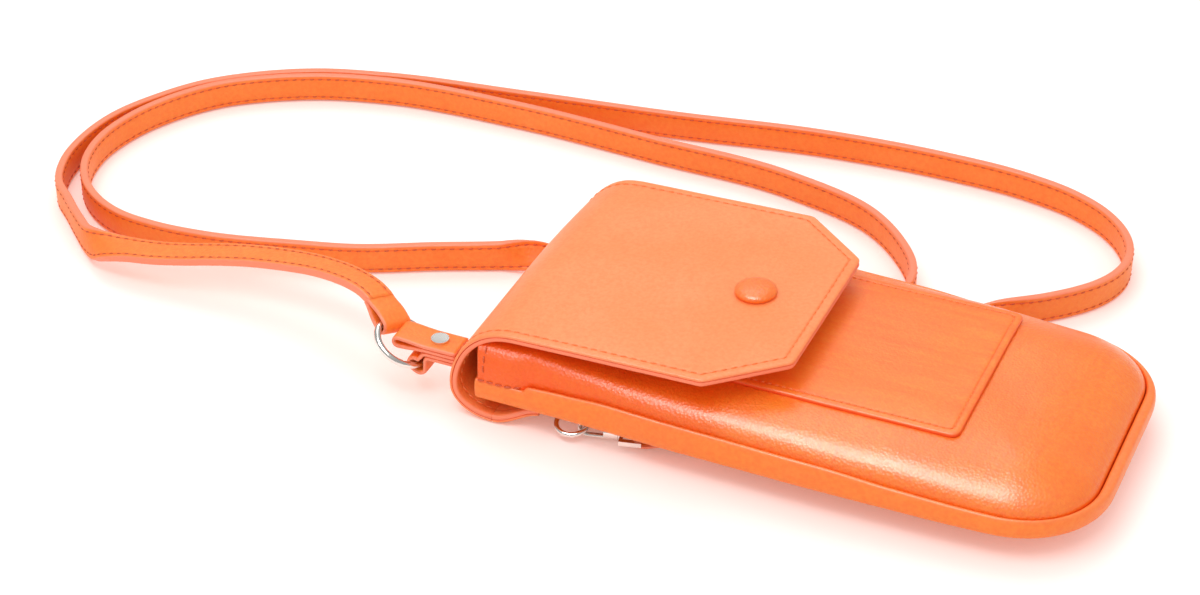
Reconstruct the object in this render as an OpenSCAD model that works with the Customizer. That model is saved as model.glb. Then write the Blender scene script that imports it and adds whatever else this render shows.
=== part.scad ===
/* [Body] */
// Half the width of the back panel
body_half = 50.5; // [46:0.5:56]
// Closed end of the back panel, from the reference line near the mouth
body_end = 178.5; // [165:0.5:195]
// Mouth of the body, from the same line
mouth_x = -9; // [-14:0.5:-6]
// Corner radius of the closed end
body_corner = 28.9; // [20:0.1:34]
// Thickness of the back panel and of its rim
back_wall = 2; // [1.4:0.1:2.6]
// Height of the rim at the mouth
rim_mouth_z = 10.2; // [8:0.1:11]
// Height of the rim at the closed end
rim_end_z = 6.8; // [5:0.1:9]
// Height of the front panel's flat top
front_top = 15.8; // [14.5:0.1:16.5]
// Thickness of the front panel
front_wall = 1.8; // [1.2:0.1:2.4]
// Thickness of the cloth linings
lining_t = 0.6; // [0.4:0.1:0.8]
// Side gap between the front panel and the rim
seam_gap = 0.2; // [0.1:0.05:0.4]

/* [Card pocket] */
// Half the width of the card pocket
pocket_half = 31.4; // [30:0.1:36]
// Closed end of the card pocket
pocket_end = 134.3; // [125:0.1:145]
// Open end of the card pocket
pocket_start = 38; // [34:0.5:44]
// Thickness of the pocket over the front panel
pocket_t = 1.7; // [1.5:0.1:2]
// Height of the card slot
slot_h = 0.8; // [0.6:0.1:0.9]
// Sewn margin round the card slot
pocket_margin = 3; // [2:0.5:4]
// Corner radius of the pocket
pocket_corner = 3; // [2:0.5:6]

/* [Flap] */
// Half the width of the flap
flap_half = 47.3; // [42:0.1:49]
// Place where the flap's cut corners start
flap_cut = 61.9; // [55:0.1:68]
// Front edge of the flap
flap_end = 83.35; // [80:0.05:92]
// Half the width of the flap's front edge
flap_tip_half = 29.2; // [24:0.1:34]
// Outer leather of the flap
flap_outer_t = 1.4; // [1:0.1:1.6]
// Inner leather of the flap
flap_inner_t = 1.2; // [1:0.1:1.4]
// Height of the flap's outer face over the reference line
flap_z = 24.02; // [23.5:0.02:26]
// Rise of the flap's outer face along its length, in degrees
flap_rise = 1.873; // [1:0.001:2.5]
// Place where the flat flap meets the fold
flap_start = 2; // [0:0.5:4]

/* [Fold] */
// Leftmost place of the fold
fold_left = -18; // [-20:0.5:-17.5]
// Place of the fold's lowest line
fold_low_x = -3.7; // [-5:0.1:-2]
// Depth of the fold's lowest line under the back panel
fold_drop = 7.3; // [7:0.1:8]
// Depth of the fold over the strap
fold_arch_drop = 4.1; // [3.6:0.1:4.3]
// Height where the fold stands upright
fold_mid_z = 4.5; // [3:0.5:6]
// Place where the fold leaves the flat flange
fold_start = 10; // [8:0.5:10.5]
// End of the flange on the back panel
flange_end = 28; // [26:0.5:34]

/* [Snap] */
// Place of the snap along the pouch
snap_x = 60.6; // [56:0.1:64]
// Radius of the domed cap
cap_r = 6.5; // [6:0.1:7.5]
// Height of the domed cap
cap_h = 3; // [2:0.1:4]
// Radius of the snap's post
post_r = 1.5; // [1.2:0.1:1.8]
// Radius of the socket and the stud's base
snap_r = 6; // [5.5:0.1:7]
// Radius of the stud's nub
nub_r = 2.2; // [2:0.1:2.5]
// Height of the stud's nub
nub_h = 2.6; // [2:0.1:3]
// Side gap between the nub and its socket
nub_gap = 0.5; // [0.4:0.05:0.7]
// Thickness of the stud's base
stud_base = 0.9; // [0.7:0.1:1.1]
// Gap between the closed socket and the stud's base
snap_gap = 0.3; // [0.2:0.05:0.5]

/* [Ring] */
// Radius of the ring's centre line
ring_r = 8.6; // [8:0.1:9]
// Radius of the ring's wire
ring_wire = 1.1; // [0.9:0.05:1.2]
// Place of the ring's centre along the pouch
ring_x = -37.6; // [-38.5:0.1:-37]
// Place of the ring's centre across the pouch
ring_y = -40; // [-41:0.1:-39]
// Height of the ring's centre
ring_z = 6.2; // [6:0.1:6.6]
// Slope of the ring, down towards the pouch, in degrees
ring_tilt = 31; // [28:0.5:33]
// Width of the leather strips at the ring
tab_w = 9.5; // [8:0.1:9.6]
// Thickness of one layer of those strips
tab_layer = 1.3; // [1.1:0.05:1.4]
// Height where the strips leave the fold
tab_z = 5.2; // [5:0.1:5.4]
// Place of the rivet through the strips
rivet_x = -25; // [-25.5:0.1:-23.5]
// Radius of the rivet's heads
rivet_head_r = 2.75; // [2:0.05:3]
// Radius of the rivet's shaft
rivet_r = 1; // [0.8:0.05:1.2]
// Height of the rivet's heads
rivet_head_h = 0.9; // [0.6:0.1:1.2]

/* [Hook] */
// Radius of the D-ring's bow
dee_r = 4.8; // [4.6:0.1:5]
// Depth of the D-ring from its bar
dee_depth = 10; // [9.5:0.1:10.4]
// Radius of the D-ring's wire
dee_wire = 0.8; // [0.7:0.05:0.85]
// Place of the D-ring along the pouch
dee_x = 20.5; // [20.3:0.1:20.7]
// Place of the D-ring's bar across the pouch
dee_y = -39.5; // [-39.7:0.1:-39.3]
// Slope of the D-ring under the pouch, in degrees
dee_tilt = 12.8; // [11:0.1:14]
// Length of the strip that holds the D-ring
back_tab_l = 18; // [16:0.5:24]
// Place of the hook's axis across the pouch
hook_y = -45; // [-45.2:0.1:-44.8]
// Turn of the hook's axis away from the near edge, in degrees
hook_yaw = 13; // [12:0.5:14]
// Depth of the hook's axis under the back panel
hook_drop = 3.65; // [3.55:0.05:3.75]
// Radius of the hook's wire
hook_wire = 0.75; // [0.65:0.05:0.8]
// Radius of the bend of the hook's eye
eye_r = 2.35; // [2.3:0.05:2.45]
// Place of the eye's bend along the pouch
eye_x = 25.6; // [25.4:0.1:25.8]
// Length of the eye's straight sides
eye_l = 5.2; // [5:0.1:6]
// Radius of the swivel's stem
stem_r = 0.9; // [0.7:0.05:1]
// Radius of the collar
collar_r = 2.6; // [2.4:0.1:2.9]
// Length of the collar
collar_l = 3; // [2.6:0.1:4]

/* [Strap] */
// Width of the strap
strap_w = 10; // [9:0.5:10]
// Thickness of the strap
strap_t = 2.6; // [2:0.1:2.6]
// Width of the strap's end in the hook
strap_end_w = 8; // [7:0.5:8]
// Thickness of one thinned layer at the strap's ends
skive_t = 1.2; // [1:0.05:1.3]

/* [Hidden] */
$fn = 64;
over = 1;
fit_gap = 0.1;
half_turn = 180;
quarter = 90;

// Leather of the fold and where the whole pouch stands in its frame
fold_t = flap_outer_t + flap_inner_t;
ring_reach = ring_r * cos(ring_tilt) + ring_wire;
origin_x = (body_end + ring_x - ring_reach) / 2;
body_l = body_end - mouth_x;

// Front panel: its outline inside the rim and its rounded shoulder
front_half = body_half - back_wall - seam_gap;
front_end = body_end - back_wall - seam_gap;
front_corner = body_corner - back_wall - seam_gap;
shoulder_h = front_top - back_wall;
slice_t = 0.01;
// Room between the front lining and the panel over it
glue_gap = 0.05;
// Height and inset of each level of the shoulder, as shares of its height
shoulder_shares = [[0, 0], [0.435, 0], [0.69, 0.087], [0.855, 0.29], [1, 0.652]];
lining_share = 0.8;
lining_inset = shoulder_h * lining_share;
rim_slope = atan((rim_mouth_z - rim_end_z) / body_l);
pocket_top = front_top + pocket_t;

// Fold outline: shares of its run where the curves are drawn from
lead_share = 0.25;
low_share = 0.4;
round_share = 0.58;
rise_share = 0.6;
upper_share = 0.383;
top_share = 0.65;
// Share of the upper curve that stays on the back panel's side
split_share = 0.25;
curve_steps = 8;
fold_end = [flap_start, flap_top(flap_start)];
edge_share = 0.98;
fold_low_far = flap_half * edge_share;
// The flange leaves room for the strip that holds the D-ring
flange_y = dee_y + back_tab_l + 2 * over;
arch_from = 18;
arch_full = 25;
arch_shares = [0.25, 0.5, 0.75];
// Stations across the pouch, from the far edge to the near edge
arch_stations = [for (share = arch_shares) lerp(arch_full, arch_from, share)];
fold_stations = concat([flap_half, fold_low_far, arch_full], arch_stations,
                       [arch_from, 0, flange_y + over, flange_y, -flap_half]);
side_stations = concat([flap_half, arch_full], arch_stations, [arch_from, -flap_half]);

// Snap: heights that follow the flap over it
snap_u = (snap_x - flap_start) / cos(flap_rise);
socket_h = flap_top(snap_x) - fold_t - pocket_top - stud_base - snap_gap;
nub_bore = nub_r + nub_gap;
socket_roof = 0.9;
eyelet_t_share = 0.6;
eyelet_r_share = 0.75;
eyelet_t = slot_h * eyelet_t_share;
eyelet_r = snap_r * eyelet_r_share;

// Ring strips: the loop's slot covers the ring's arc across the strip's width
arc_drop = ring_r - sqrt(ring_r * ring_r - tab_w * tab_w / 4);
wire_gap = 0.3;
slot_r = ring_wire + wire_gap;
ring_right = [ring_x + ring_r * cos(ring_tilt), ring_z - ring_r * sin(ring_tilt)];
arc_along = [-cos(ring_tilt), sin(ring_tilt)];
slot_far = arc_drop + wire_gap;
cover_r = 2.1;
cover_hole_r = cover_r - tab_layer;
cover_x = -37.1;
cover_z = tab_z + 3 * tab_layer;
// The strips lie flat from the fold to past the rivet's head
flat_x = rivet_x - rivet_head_r - fit_gap;

// Strap end at the ring: it leaves the ring at this angle round it
strap_angle = 150;
strap_lead = 8;
strap_drop = strap_w / 2;
strap_arc_drop = ring_r - sqrt(ring_r * ring_r - strap_drop * strap_drop);

// D-ring and hook
dee_straight = dee_depth - dee_r;
bar_gap = 0.25;
tab_bore = dee_wire + bar_gap;
dee_z = -tab_bore - tab_layer;
back_tab_w = 2 * (dee_r - dee_wire) - 2 * bar_gap;
back_rivet_y = dee_y + back_tab_l / 2 + tab_layer;
eye_end = eye_x + eye_l;
gate_x = eye_end - hook_wire;
gate_tip = eye_x + hook_wire;
gate_share = 0.8;
gate_wire = hook_wire * gate_share;
pin_r = 0.35;
pin_bore = pin_r + fit_gap / 2;
lug_r = 1.2;
cheek_t = 0.5;
lug_half = gate_wire + fit_gap / 2 + cheek_t;
stem_bore = stem_r + fit_gap;
head_lip = 0.7;
head_r = stem_r + head_lip;
head_t = 0.9;
collar_share = 0.2;
collar_x = eye_end + hook_wire + eye_r * collar_share;
hub_x = collar_x + collar_l + fit_gap;
hub_l = 1.4;
loop_gap = 0.3;
loop_in = strap_end_w / 2 + loop_gap;
frame_l = 5.4;
loop_bar_x = hub_x + hub_l + frame_l;
bar_room = 0.55;
loop_bore = hook_wire + bar_room;
strap_end_x = 49.6;

// Route of the strap: place, height and lean of its width, in the pouch's standing frame
route = [
    [-116.5, -31.4, 21.2, 15], [-119.4, -29.9, 21.9, 13], [-122.6, -28.6, 22.25, 11],
    [-126.2, -27.3, 22.3, 9], [-130.5, -25.9, 22, 7], [-141, -22.9, 20.4, 4],
    [-154, -21, 18.1, 1], [-166, -20.8, 16.2, 0], [-180, -22, 13.8, -1],
    [-190, -23.4, 12, -2], [-200, -24.4, 10.4, -4], [-210, -24.8, 9.2, -8],
    [-217.5, -24.6, 8, -26], [-223, -23.2, 6.6, -58], [-228.5, -20.4, 5.6, -84],
    [-234.6, -15.4, 5.3, -88], [-245, -6, 5.1, -90], [-252.5, 0.7, 5.1, -90],
    [-258.4, 12.5, 5.1, -90], [-260.8, 28.5, 5.1, -90], [-258.4, 47, 5.1, -90],
    [-252, 61.4, 5.1, -90], [-242, 76.5, 5.1, -90], [-227.2, 89.6, 5.1, -90],
    [-208.6, 100.3, 5.1, -90], [-186, 107.4, 5.1, -90], [-136, 115.7, 5.1, -90],
    [-84, 123.5, 5.1, -90], [-28, 133.5, 5.1, -90], [10, 136, 5.1, -90],
    [42, 134.3, 5.1, -90], [58, 130.2, 5.1, -90], [71.2, 122.8, 5.1, -90],
    [79.3, 114, 5.1, -90], [83.3, 105.5, 5.1, -90], [84.3, 97.5, 5.1, -90],
    [82.8, 89.5, 5.1, -90], [79.2, 82.2, 5.1, -90], [74.2, 75.9, 5.1, -90],
    [67.4, 69.3, 5.1, -90], [60, 63.2, 5, -82], [54, 58.5, 4.5, -58],
    [48.5, 54.4, 3.2, -25], [43, 50.8, 1.8, -5], [37, 47.4, 1.4, 0],
    [28, 43.8, 1.4, 0], [16, 41.2, 1.4, 0], [-24, 39.5, 1.4, 0], [-62, 40.5, 1.4, 0],
    [-71, 39.35, 1.4, 0], [-78, 37.1, 1.45, 0], [-82.2, 35.5, 1.85, -6],
    [-86.4, 33.6, 2.95, -19], [-90.6, 31.55, 4.15, -38], [-94.8, 29.5, 4.95, -58],
    [-99, 27.45, 5.15, -76], [-103.2, 25.4, 5.1, -88], [-120, 17.6, 5.1, -90],
    [-146, 5, 5.1, -90], [-162, 0.2, 5.1, -90], [-194, -7.6, 5.1, -90],
    [-211, -8.8, 5.1, -90], [-225, -7.2, 5.1, -90], [-236, -2.4, 5.1, -90],
    [-244.4, 4.4, 5.1, -90], [-251.4, 14.6, 5.1, -90], [-255.2, 29, 5.1, -90],
    [-253.6, 46.5, 5.1, -90], [-246.6, 64, 5.1, -90], [-236.4, 78.2, 5.1, -90],
    [-222, 89.4, 5.1, -90], [-205.4, 98, 5.1, -90], [-184.4, 104.2, 5.1, -90],
    [-134, 107.9, 5.1, -90], [-82, 106, 5.1, -90], [-32, 103.4, 5.1, -90],
    [2, 92, 5.1, -90], [14, 81, 5.1, -90], [22, 69.5, 5.1, -90], [25.4, 59, 5.1, -78],
    [26.6, 54.8, 4.7, -32], [27.4, 50.6, 4.5, -5], [27.8, 43, 4.5, 0],
    [27.5, 35, 4.2, 0], [26, 24, 2, 0], [22, 7, 1.4, 0], [15.5, -8, 1.4, 0],
    [7.5, -20.6, 1.4, 0], [-0.5, -29.6, 1.5, 0], [-6.5, -34.8, 2.2, 0],
    [-11, -37.6, 3.15, 0], [-14, -38.85, 3.6, 0], [-17.23, -39.6, 3.65, 0]];
edge_cut = 0.6;

// Height of the flap's outer face at x
function flap_top(x) = flap_z + x * tan(flap_rise);
function unit(v) = v / norm(v);
function lerp(a, b, s) = a + (b - a) * s;
function bezier(p, t) =
    pow(1 - t, 3) * p[0] + 3 * pow(1 - t, 2) * t * p[1]
    + 3 * (1 - t) * t * t * p[2] + pow(t, 3) * p[3];
function bezier_way(p, t) =
    pow(1 - t, 2) * (p[1] - p[0]) + 2 * (1 - t) * t * (p[2] - p[1]) + t * t * (p[3] - p[2]);
// Point at the leather's thickness inside the curve
function inside(p, t) =
    let (way = unit(bezier_way(p, t))) bezier(p, t) + fold_t * [way[1], -way[0]];
function curve(p, from, to, steps) =
    [for (i = [0:steps]) bezier(p, lerp(from, to, i / steps))];
function inner_curve(p, from, to, steps) =
    [for (i = [0:steps]) inside(p, lerp(from, to, i / steps))];
function flipped(list) = [for (i = [len(list) - 1:-1:0]) list[i]];
function tail(list) = [for (i = [1:len(list) - 1]) list[i]];

// The fold's three curves: under the back panel, round its foot, and up to the flap
function under_curve(drop) = [
    [fold_start, -fold_t],
    [lerp(fold_start, fold_low_x, lead_share), -fold_t],
    [lerp(fold_low_x, fold_start, low_share), -drop],
    [fold_low_x, -drop]];
function foot_curve(drop) = [
    [fold_low_x, -drop],
    [lerp(fold_low_x, fold_left, round_share), -drop],
    [fold_left, lerp(fold_mid_z, -drop, rise_share)],
    [fold_left, fold_mid_z]];
function upper_curve() = [
    [fold_left, fold_mid_z],
    [fold_left, lerp(fold_mid_z, fold_end[1], upper_share)],
    [lerp(flap_start, fold_left, top_share),
     flap_top(lerp(flap_start, fold_left, top_share))],
    fold_end];

// Outline of the fold round its foot, anticlockwise seen from the near side
function side_outline(drop) = concat(
    inner_curve(foot_curve(drop), 0, 1, curve_steps),
    tail(inner_curve(upper_curve(), 0, split_share, curve_steps / 2)),
    flipped(curve(upper_curve(), 0, split_share, curve_steps / 2)),
    tail(flipped(curve(foot_curve(drop), 0, 1, curve_steps))));
function arch_share(y) = min(1, max(0, (y - arch_from) / (arch_full - arch_from)));
function smooth(s) = s * s * (3 - 2 * s);
function drop_at(y) = lerp(fold_drop, fold_arch_drop, smooth(arch_share(y)));
function side_ring(y) = [for (p = side_outline(drop_at(y))) [p[0], y, p[1]]];
// The lower leather with its flange, which is short on the D-ring's side
function fold_ring(y) =
    let (flange_x = y > flange_y ? flange_end : fold_start + over / 2,
         under = under_curve(drop_at(y)))
    [for (p = concat([[flange_x, 0]], inner_curve(under, 0, 1, curve_steps),
                     flipped(curve(under, 0, 1, curve_steps)), [[flange_x, -fold_t]]))
        [p[0], y, p[1]]];

// Triangles of a closed tube of rings, each with side points
function tube_faces(rings, side) = concat(
    [for (i = [0:rings - 2], j = [0:side - 1])
        [i * side + j, (i + 1) * side + j, (i + 1) * side + (j + 1) % side]],
    [for (i = [0:rings - 2], j = [0:side - 1])
        [i * side + j, (i + 1) * side + (j + 1) % side, i * side + (j + 1) % side]]);
function start_cap(side) = [[for (j = [0:side - 1]) j]];
function end_cap(rings, side) = [[for (j = [side - 1:-1:0]) (rings - 1) * side + j]];

// The strap's section and its rings along the route
strap_section = [
    [strap_w / 2, edge_cut - strap_t / 2], [strap_w / 2, strap_t / 2 - edge_cut],
    [strap_w / 2 - edge_cut, strap_t / 2], [edge_cut - strap_w / 2, strap_t / 2],
    [-strap_w / 2, strap_t / 2 - edge_cut], [-strap_w / 2, edge_cut - strap_t / 2],
    [edge_cut - strap_w / 2, -strap_t / 2], [strap_w / 2 - edge_cut, -strap_t / 2]];
function place_of(i) = [route[i][0], route[i][1], route[i][2]];
function way_at(i) =
    unit(place_of(min(i + 1, len(route) - 1)) - place_of(max(i - 1, 0)));
function strap_ring(i) =
    let (way = way_at(i),
         level = unit([-way[1], way[0], 0]),
         up = cross(way, level),
         lean = route[i][3],
         across = level * cos(lean) + up * sin(lean),
         out = up * cos(lean) - level * sin(lean))
    [for (p = strap_section) place_of(i) + across * p[0] + out * p[1]];

// Moves a piece from the pouch's own frame to the standing frame
module placed() {
    translate([-origin_x, 0, fold_drop]) children();
}

// Outline of a panel with a square mouth and two round corners
module panel_outline(half, start, end, corner) {
    translate([start, -half]) square([end - corner - start, 2 * half]);
    translate([start, corner - half]) square([end - start, 2 * (half - corner)]);
    for (side = [-1, 1])
        translate([end - corner, side * (half - corner)]) circle(r = corner);
}

// Plain solid of a panel between two heights
module panel(half, start, end, corner, low, high) {
    translate([0, 0, low]) linear_extrude(high - low) panel_outline(half, start, end, corner);
}

module back_shell() {
    color("sienna") placed() difference() {
        panel(body_half, mouth_x, body_end, body_corner, 0, rim_mouth_z + over);
        panel(body_half - back_wall, mouth_x - over, body_end - back_wall,
              body_corner - back_wall, back_wall, rim_mouth_z + 2 * over);
        translate([mouth_x, 0, rim_mouth_z]) rotate([0, rim_slope, 0])
            translate([-over, -body_half - over, 0])
                cube([body_l + 2 * over, 2 * (body_half + over), rim_mouth_z]);
    }
}

// Rounded block of the front panel, drawn in by a wall
module front_block(wall, start) {
    hull() for (level = shoulder_shares) {
        inset = wall + level[1] * shoulder_h;
        z = level[0] == 0 ? back_wall : back_wall + level[0] * shoulder_h - wall - slice_t;
        translate([0, 0, z]) linear_extrude(slice_t)
            panel_outline(front_half - inset, start, front_end - inset,
                          max(front_corner - inset, over));
    }
}

module front_shell() {
    color("peru") placed() difference() {
        front_block(0, mouth_x);
        translate([0, 0, -2 * slice_t]) front_block(front_wall, mouth_x - over);
    }
}

module back_lining() {
    color("tan") placed()
        panel(front_half - front_wall - seam_gap, mouth_x, front_end - front_wall - seam_gap,
              front_corner - front_wall - seam_gap, back_wall, back_wall + lining_t);
}

module front_lining() {
    color("tan") placed()
        panel(front_half - lining_inset, mouth_x, front_end - lining_inset,
              front_corner - lining_inset, front_top - front_wall - lining_t - glue_gap,
              front_top - front_wall - glue_gap);
}

module card_pocket() {
    slot_half = pocket_half - pocket_margin;
    color("chocolate") placed() difference() {
        panel(pocket_half, pocket_start, pocket_end, pocket_corner, front_top, pocket_top);
        translate([pocket_start - over, -slot_half, front_top - over])
            cube([pocket_end - pocket_margin - pocket_start + over, 2 * slot_half, slot_h + over]);
        translate([snap_x, 0, front_top]) cylinder(r = post_r + fit_gap / 2, h = pocket_t + over);
    }
}

// The flap's own frame: along its slope from the fold, outer face at zero
module on_flap(u) {
    placed() translate([flap_start, 0, flap_top(flap_start)]) rotate([0, -flap_rise, 0])
        translate([u, 0, 0]) children();
}

module flap_plate(top, thick) {
    run = 1 / cos(flap_rise);
    on_flap(0) difference() {
        translate([0, 0, -top - thick]) linear_extrude(thick)
            polygon([[0, -flap_half], [(flap_cut - flap_start) * run, -flap_half],
                     [(flap_end - flap_start) * run, -flap_tip_half],
                     [(flap_end - flap_start) * run, flap_tip_half],
                     [(flap_cut - flap_start) * run, flap_half], [0, flap_half]]);
        translate([snap_u, 0, -top - thick - over])
            cylinder(r = post_r + fit_gap / 2, h = thick + 2 * over);
    }
}

module flap_leather() {
    color("peru") flap_plate(0, flap_outer_t);
}

module flap_lining() {
    color("sandybrown") flap_plate(flap_outer_t, flap_inner_t);
}

module flap_fold() {
    color("peru") placed() translate([0, flap_half, 0]) rotate([quarter, 0, 0])
        linear_extrude(2 * flap_half)
            polygon(concat(inner_curve(upper_curve(), split_share, 1, curve_steps),
                           flipped(curve(upper_curve(), split_share, 1, curve_steps))));
}

// Solid through rings of points, from the far edge to the near edge
module loft(rings) {
    side = len(rings[0]);
    polyhedron(points = [for (ring = rings) each ring],
               faces = concat(tube_faces(len(rings), side), start_cap(side),
                              end_cap(len(rings), side)));
}

module fold_back() {
    color("sienna") placed() loft([for (y = fold_stations) fold_ring(y)]);
}

module fold_side() {
    color("sienna") placed() loft([for (y = side_stations) side_ring(y)]);
}

module button_cap() {
    bead = cap_h / 6;
    dome_h = cap_h - bead;
    dome_r = (cap_r * cap_r + dome_h * dome_h) / (2 * dome_h);
    color("silver") on_flap(snap_u) rotate_extrude() {
        square([cap_r, bead]);
        intersection() {
            translate([0, cap_h - dome_r]) circle(r = dome_r);
            square([cap_r, cap_h]);
        }
    }
}

module button_post() {
    color("silver") on_flap(snap_u) translate([0, 0, -fold_t - socket_roof])
        cylinder(r = post_r, h = fold_t + socket_roof);
}

module snap_socket() {
    color("silver") on_flap(snap_u) translate([0, 0, -fold_t - socket_h]) difference() {
        cylinder(r = snap_r, h = socket_h);
        translate([0, 0, -over]) cylinder(r = nub_bore, h = socket_h - socket_roof + over);
        cylinder(r = post_r + fit_gap / 2, h = socket_h + over);
    }
}

module snap_stud() {
    color("silver") placed() translate([snap_x, 0, 0]) {
        translate([0, 0, front_top]) cylinder(r = post_r, h = pocket_t + stud_base);
        translate([0, 0, pocket_top]) cylinder(r = snap_r, h = stud_base);
        translate([0, 0, pocket_top]) cylinder(r = nub_r, h = stud_base + nub_h);
    }
}

module snap_eyelet() {
    color("silver") placed() translate([snap_x, 0, front_top + slot_h - eyelet_t])
        difference() {
            cylinder(r = eyelet_r, h = eyelet_t);
            translate([0, 0, -over]) cylinder(r = post_r + fit_gap / 2, h = eyelet_t + 2 * over);
        }
}

// Strip across the ring's side: an outline in length and height, made tab_w wide
module strip(width, middle) {
    translate([0, middle + width / 2, 0]) rotate([quarter, 0, 0])
        linear_extrude(width) children();
}

// A round slot from one point along a way
module slot(from, way, run, radius) {
    translate(from) circle(r = radius);
    translate(from + way * run) circle(r = radius);
    translate(from) rotate(atan2(way[1], way[0])) translate([0, -radius])
        square([run, 2 * radius]);
}

module rivet_shaft(radius) {
    translate([rivet_x, ring_y, tab_z - over / 4]) cylinder(r = radius, h = 4 * tab_layer + over);
}

module ring_tab_loop() {
    color("brown") placed() difference() {
        strip(tab_w, ring_y) tab_loop_outline();
        rivet_shaft(rivet_r + fit_gap / 2);
    }
}

module tab_loop_outline() {
    wall_r = slot_r + tab_layer;
    difference() {
        union() {
            slot(ring_right, arc_along, slot_far, wall_r);
            polygon([[ring_right[0], ring_right[1] - wall_r], [flat_x, tab_z],
                     [fold_left, tab_z], [fold_left, tab_z + 2 * tab_layer],
                     [flat_x, tab_z + 2 * tab_layer],
                     [ring_right[0], ring_right[1] + wall_r]]);
        }
        slot(ring_right, arc_along, slot_far, slot_r);
    }
}

module ring_tab_cover() {
    color("brown") placed() difference() {
        strip(tab_w, ring_y) tab_cover_outline();
        rivet_shaft(rivet_r + fit_gap / 2);
    }
}

module tab_cover_outline() {
    low = tab_z + 2 * tab_layer;
    difference() {
        union() {
            translate([cover_x, cover_z]) circle(r = cover_r);
            polygon([[cover_x, cover_z - cover_r], [flat_x, low], [fold_left, low],
                     [fold_left, low + 2 * tab_layer], [flat_x, low + 2 * tab_layer],
                     [cover_x, cover_z + cover_r]]);
        }
        translate([cover_x, cover_z]) circle(r = cover_hole_r);
    }
}

module tab_rivet() {
    top = tab_z + 4 * tab_layer;
    color("silver") placed() translate([rivet_x, ring_y, 0]) {
        translate([0, 0, top]) cylinder(r = rivet_head_r, h = rivet_head_h);
        translate([0, 0, tab_z]) cylinder(r = rivet_r, h = top - tab_z);
        translate([0, 0, tab_z - rivet_head_h]) cylinder(r = rivet_head_r, h = rivet_head_h);
    }
}

module ring() {
    color("silver") placed() translate([ring_x, ring_y, ring_z]) rotate([0, ring_tilt, 0])
        rotate_extrude() translate([ring_r, 0]) circle(r = ring_wire);
}

module back_tab() {
    loop_r = tab_bore + tab_layer;
    merge_y = dee_y + loop_r + 3 * tab_layer;
    color("brown") placed() difference() {
        translate([dee_x - back_tab_w / 2, 0, 0])
            rotate([quarter, 0, quarter]) linear_extrude(back_tab_w) difference() {
                union() {
                    translate([dee_y, dee_z]) circle(r = loop_r);
                    polygon([[dee_y, dee_z - loop_r], [merge_y, -2 * tab_layer],
                             [dee_y + back_tab_l, -2 * tab_layer], [dee_y + back_tab_l, 0],
                             [dee_y, 0]]);
                }
                translate([dee_y, dee_z]) circle(r = tab_bore);
            }
        translate([dee_x, back_rivet_y, -2 * tab_layer - over])
            cylinder(r = rivet_r + fit_gap / 2, h = 2 * tab_layer + 2 * over);
    }
}

module back_tab_rivet() {
    color("silver") placed() translate([dee_x, back_rivet_y, 0]) {
        translate([0, 0, -2 * tab_layer - rivet_head_h]) cylinder(r = rivet_head_r, h = rivet_head_h);
        translate([0, 0, -2 * tab_layer]) cylinder(r = rivet_r, h = 2 * tab_layer);
    }
}

// The D-ring lies in its own plane, bar along X, bow towards the near side
module d_ring() {
    color("silver") placed() translate([dee_x, dee_y, dee_z]) rotate([dee_tilt, 0, 0]) {
        translate([-dee_r, 0, 0]) rotate([0, quarter, 0])
            cylinder(r = dee_wire, h = 2 * dee_r);
        for (side = [-1, 1]) {
            translate([side * dee_r, 0, 0]) sphere(r = dee_wire);
            translate([side * dee_r, 0, 0]) rotate([quarter, 0, 0])
                cylinder(r = dee_wire, h = dee_straight);
        }
        translate([0, -dee_straight, 0]) rotate([0, 0, half_turn])
            rotate_extrude(angle = half_turn) translate([dee_r, 0]) circle(r = dee_wire);
    }
}

// The hook's own frame: its axis along X
module on_hook() {
    placed() translate([eye_x, hook_y, -hook_drop]) rotate([0, 0, hook_yaw])
        translate([-eye_x, 0, 0]) children();
}

module rod(from, length, radius) {
    translate(from) rotate([0, quarter, 0]) cylinder(r = radius, h = length);
}

module hook_body() {
    color("silver") on_hook() difference() {
        union() {
            // Bend of the eye, towards the mouth
            translate([eye_x, 0, 0]) rotate([quarter, 0, 0]) rotate([0, 0, quarter])
                rotate_extrude(angle = half_turn) translate([eye_r, 0]) circle(r = hook_wire);
            rod([eye_x, 0, -eye_r], eye_l, hook_wire);
            translate([eye_end, 0, 0]) cylinder(r = hook_wire, h = 2 * eye_r, center = true);
            translate([eye_end, 0, -eye_r]) sphere(r = hook_wire);
            translate([eye_end, 0, eye_r]) rotate([quarter, 0, 0])
                cylinder(r = lug_r - hook_wire / 2, h = 2 * lug_half, center = true);
            rod([eye_end, 0, 0], collar_x - eye_end + collar_l, collar_r);
        }
        // Bore for the swivel's stem, with a seat for its head
        rod([eye_end - over, 0, 0], collar_x - eye_end + collar_l + 2 * over, stem_bore);
        rod([eye_end - hook_wire - over, 0, 0],
            hook_wire + over + head_t + 2 * fit_gap, head_r + fit_gap);
        // Slot that takes the gate's root
        translate([gate_x - lug_r, -gate_wire - fit_gap / 2, eye_r - lug_r])
            cube([2 * lug_r, 2 * gate_wire + fit_gap, 2 * lug_r]);
        translate([gate_x, 0, eye_r]) rotate([quarter, 0, 0])
            cylinder(r = pin_bore, h = 4 * hook_wire, center = true);
    }
}

module hook_gate() {
    color("silver") on_hook() difference() {
        rod([gate_tip, 0, eye_r], gate_x - gate_tip + pin_bore + fit_gap, gate_wire);
        translate([gate_x, 0, eye_r]) rotate([quarter, 0, 0])
            cylinder(r = pin_bore, h = 4 * hook_wire, center = true);
    }
}

module gate_pin() {
    color("silver") on_hook() translate([gate_x, 0, eye_r]) rotate([quarter, 0, 0])
        cylinder(r = pin_r, h = 2 * lug_half, center = true);
}

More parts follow.
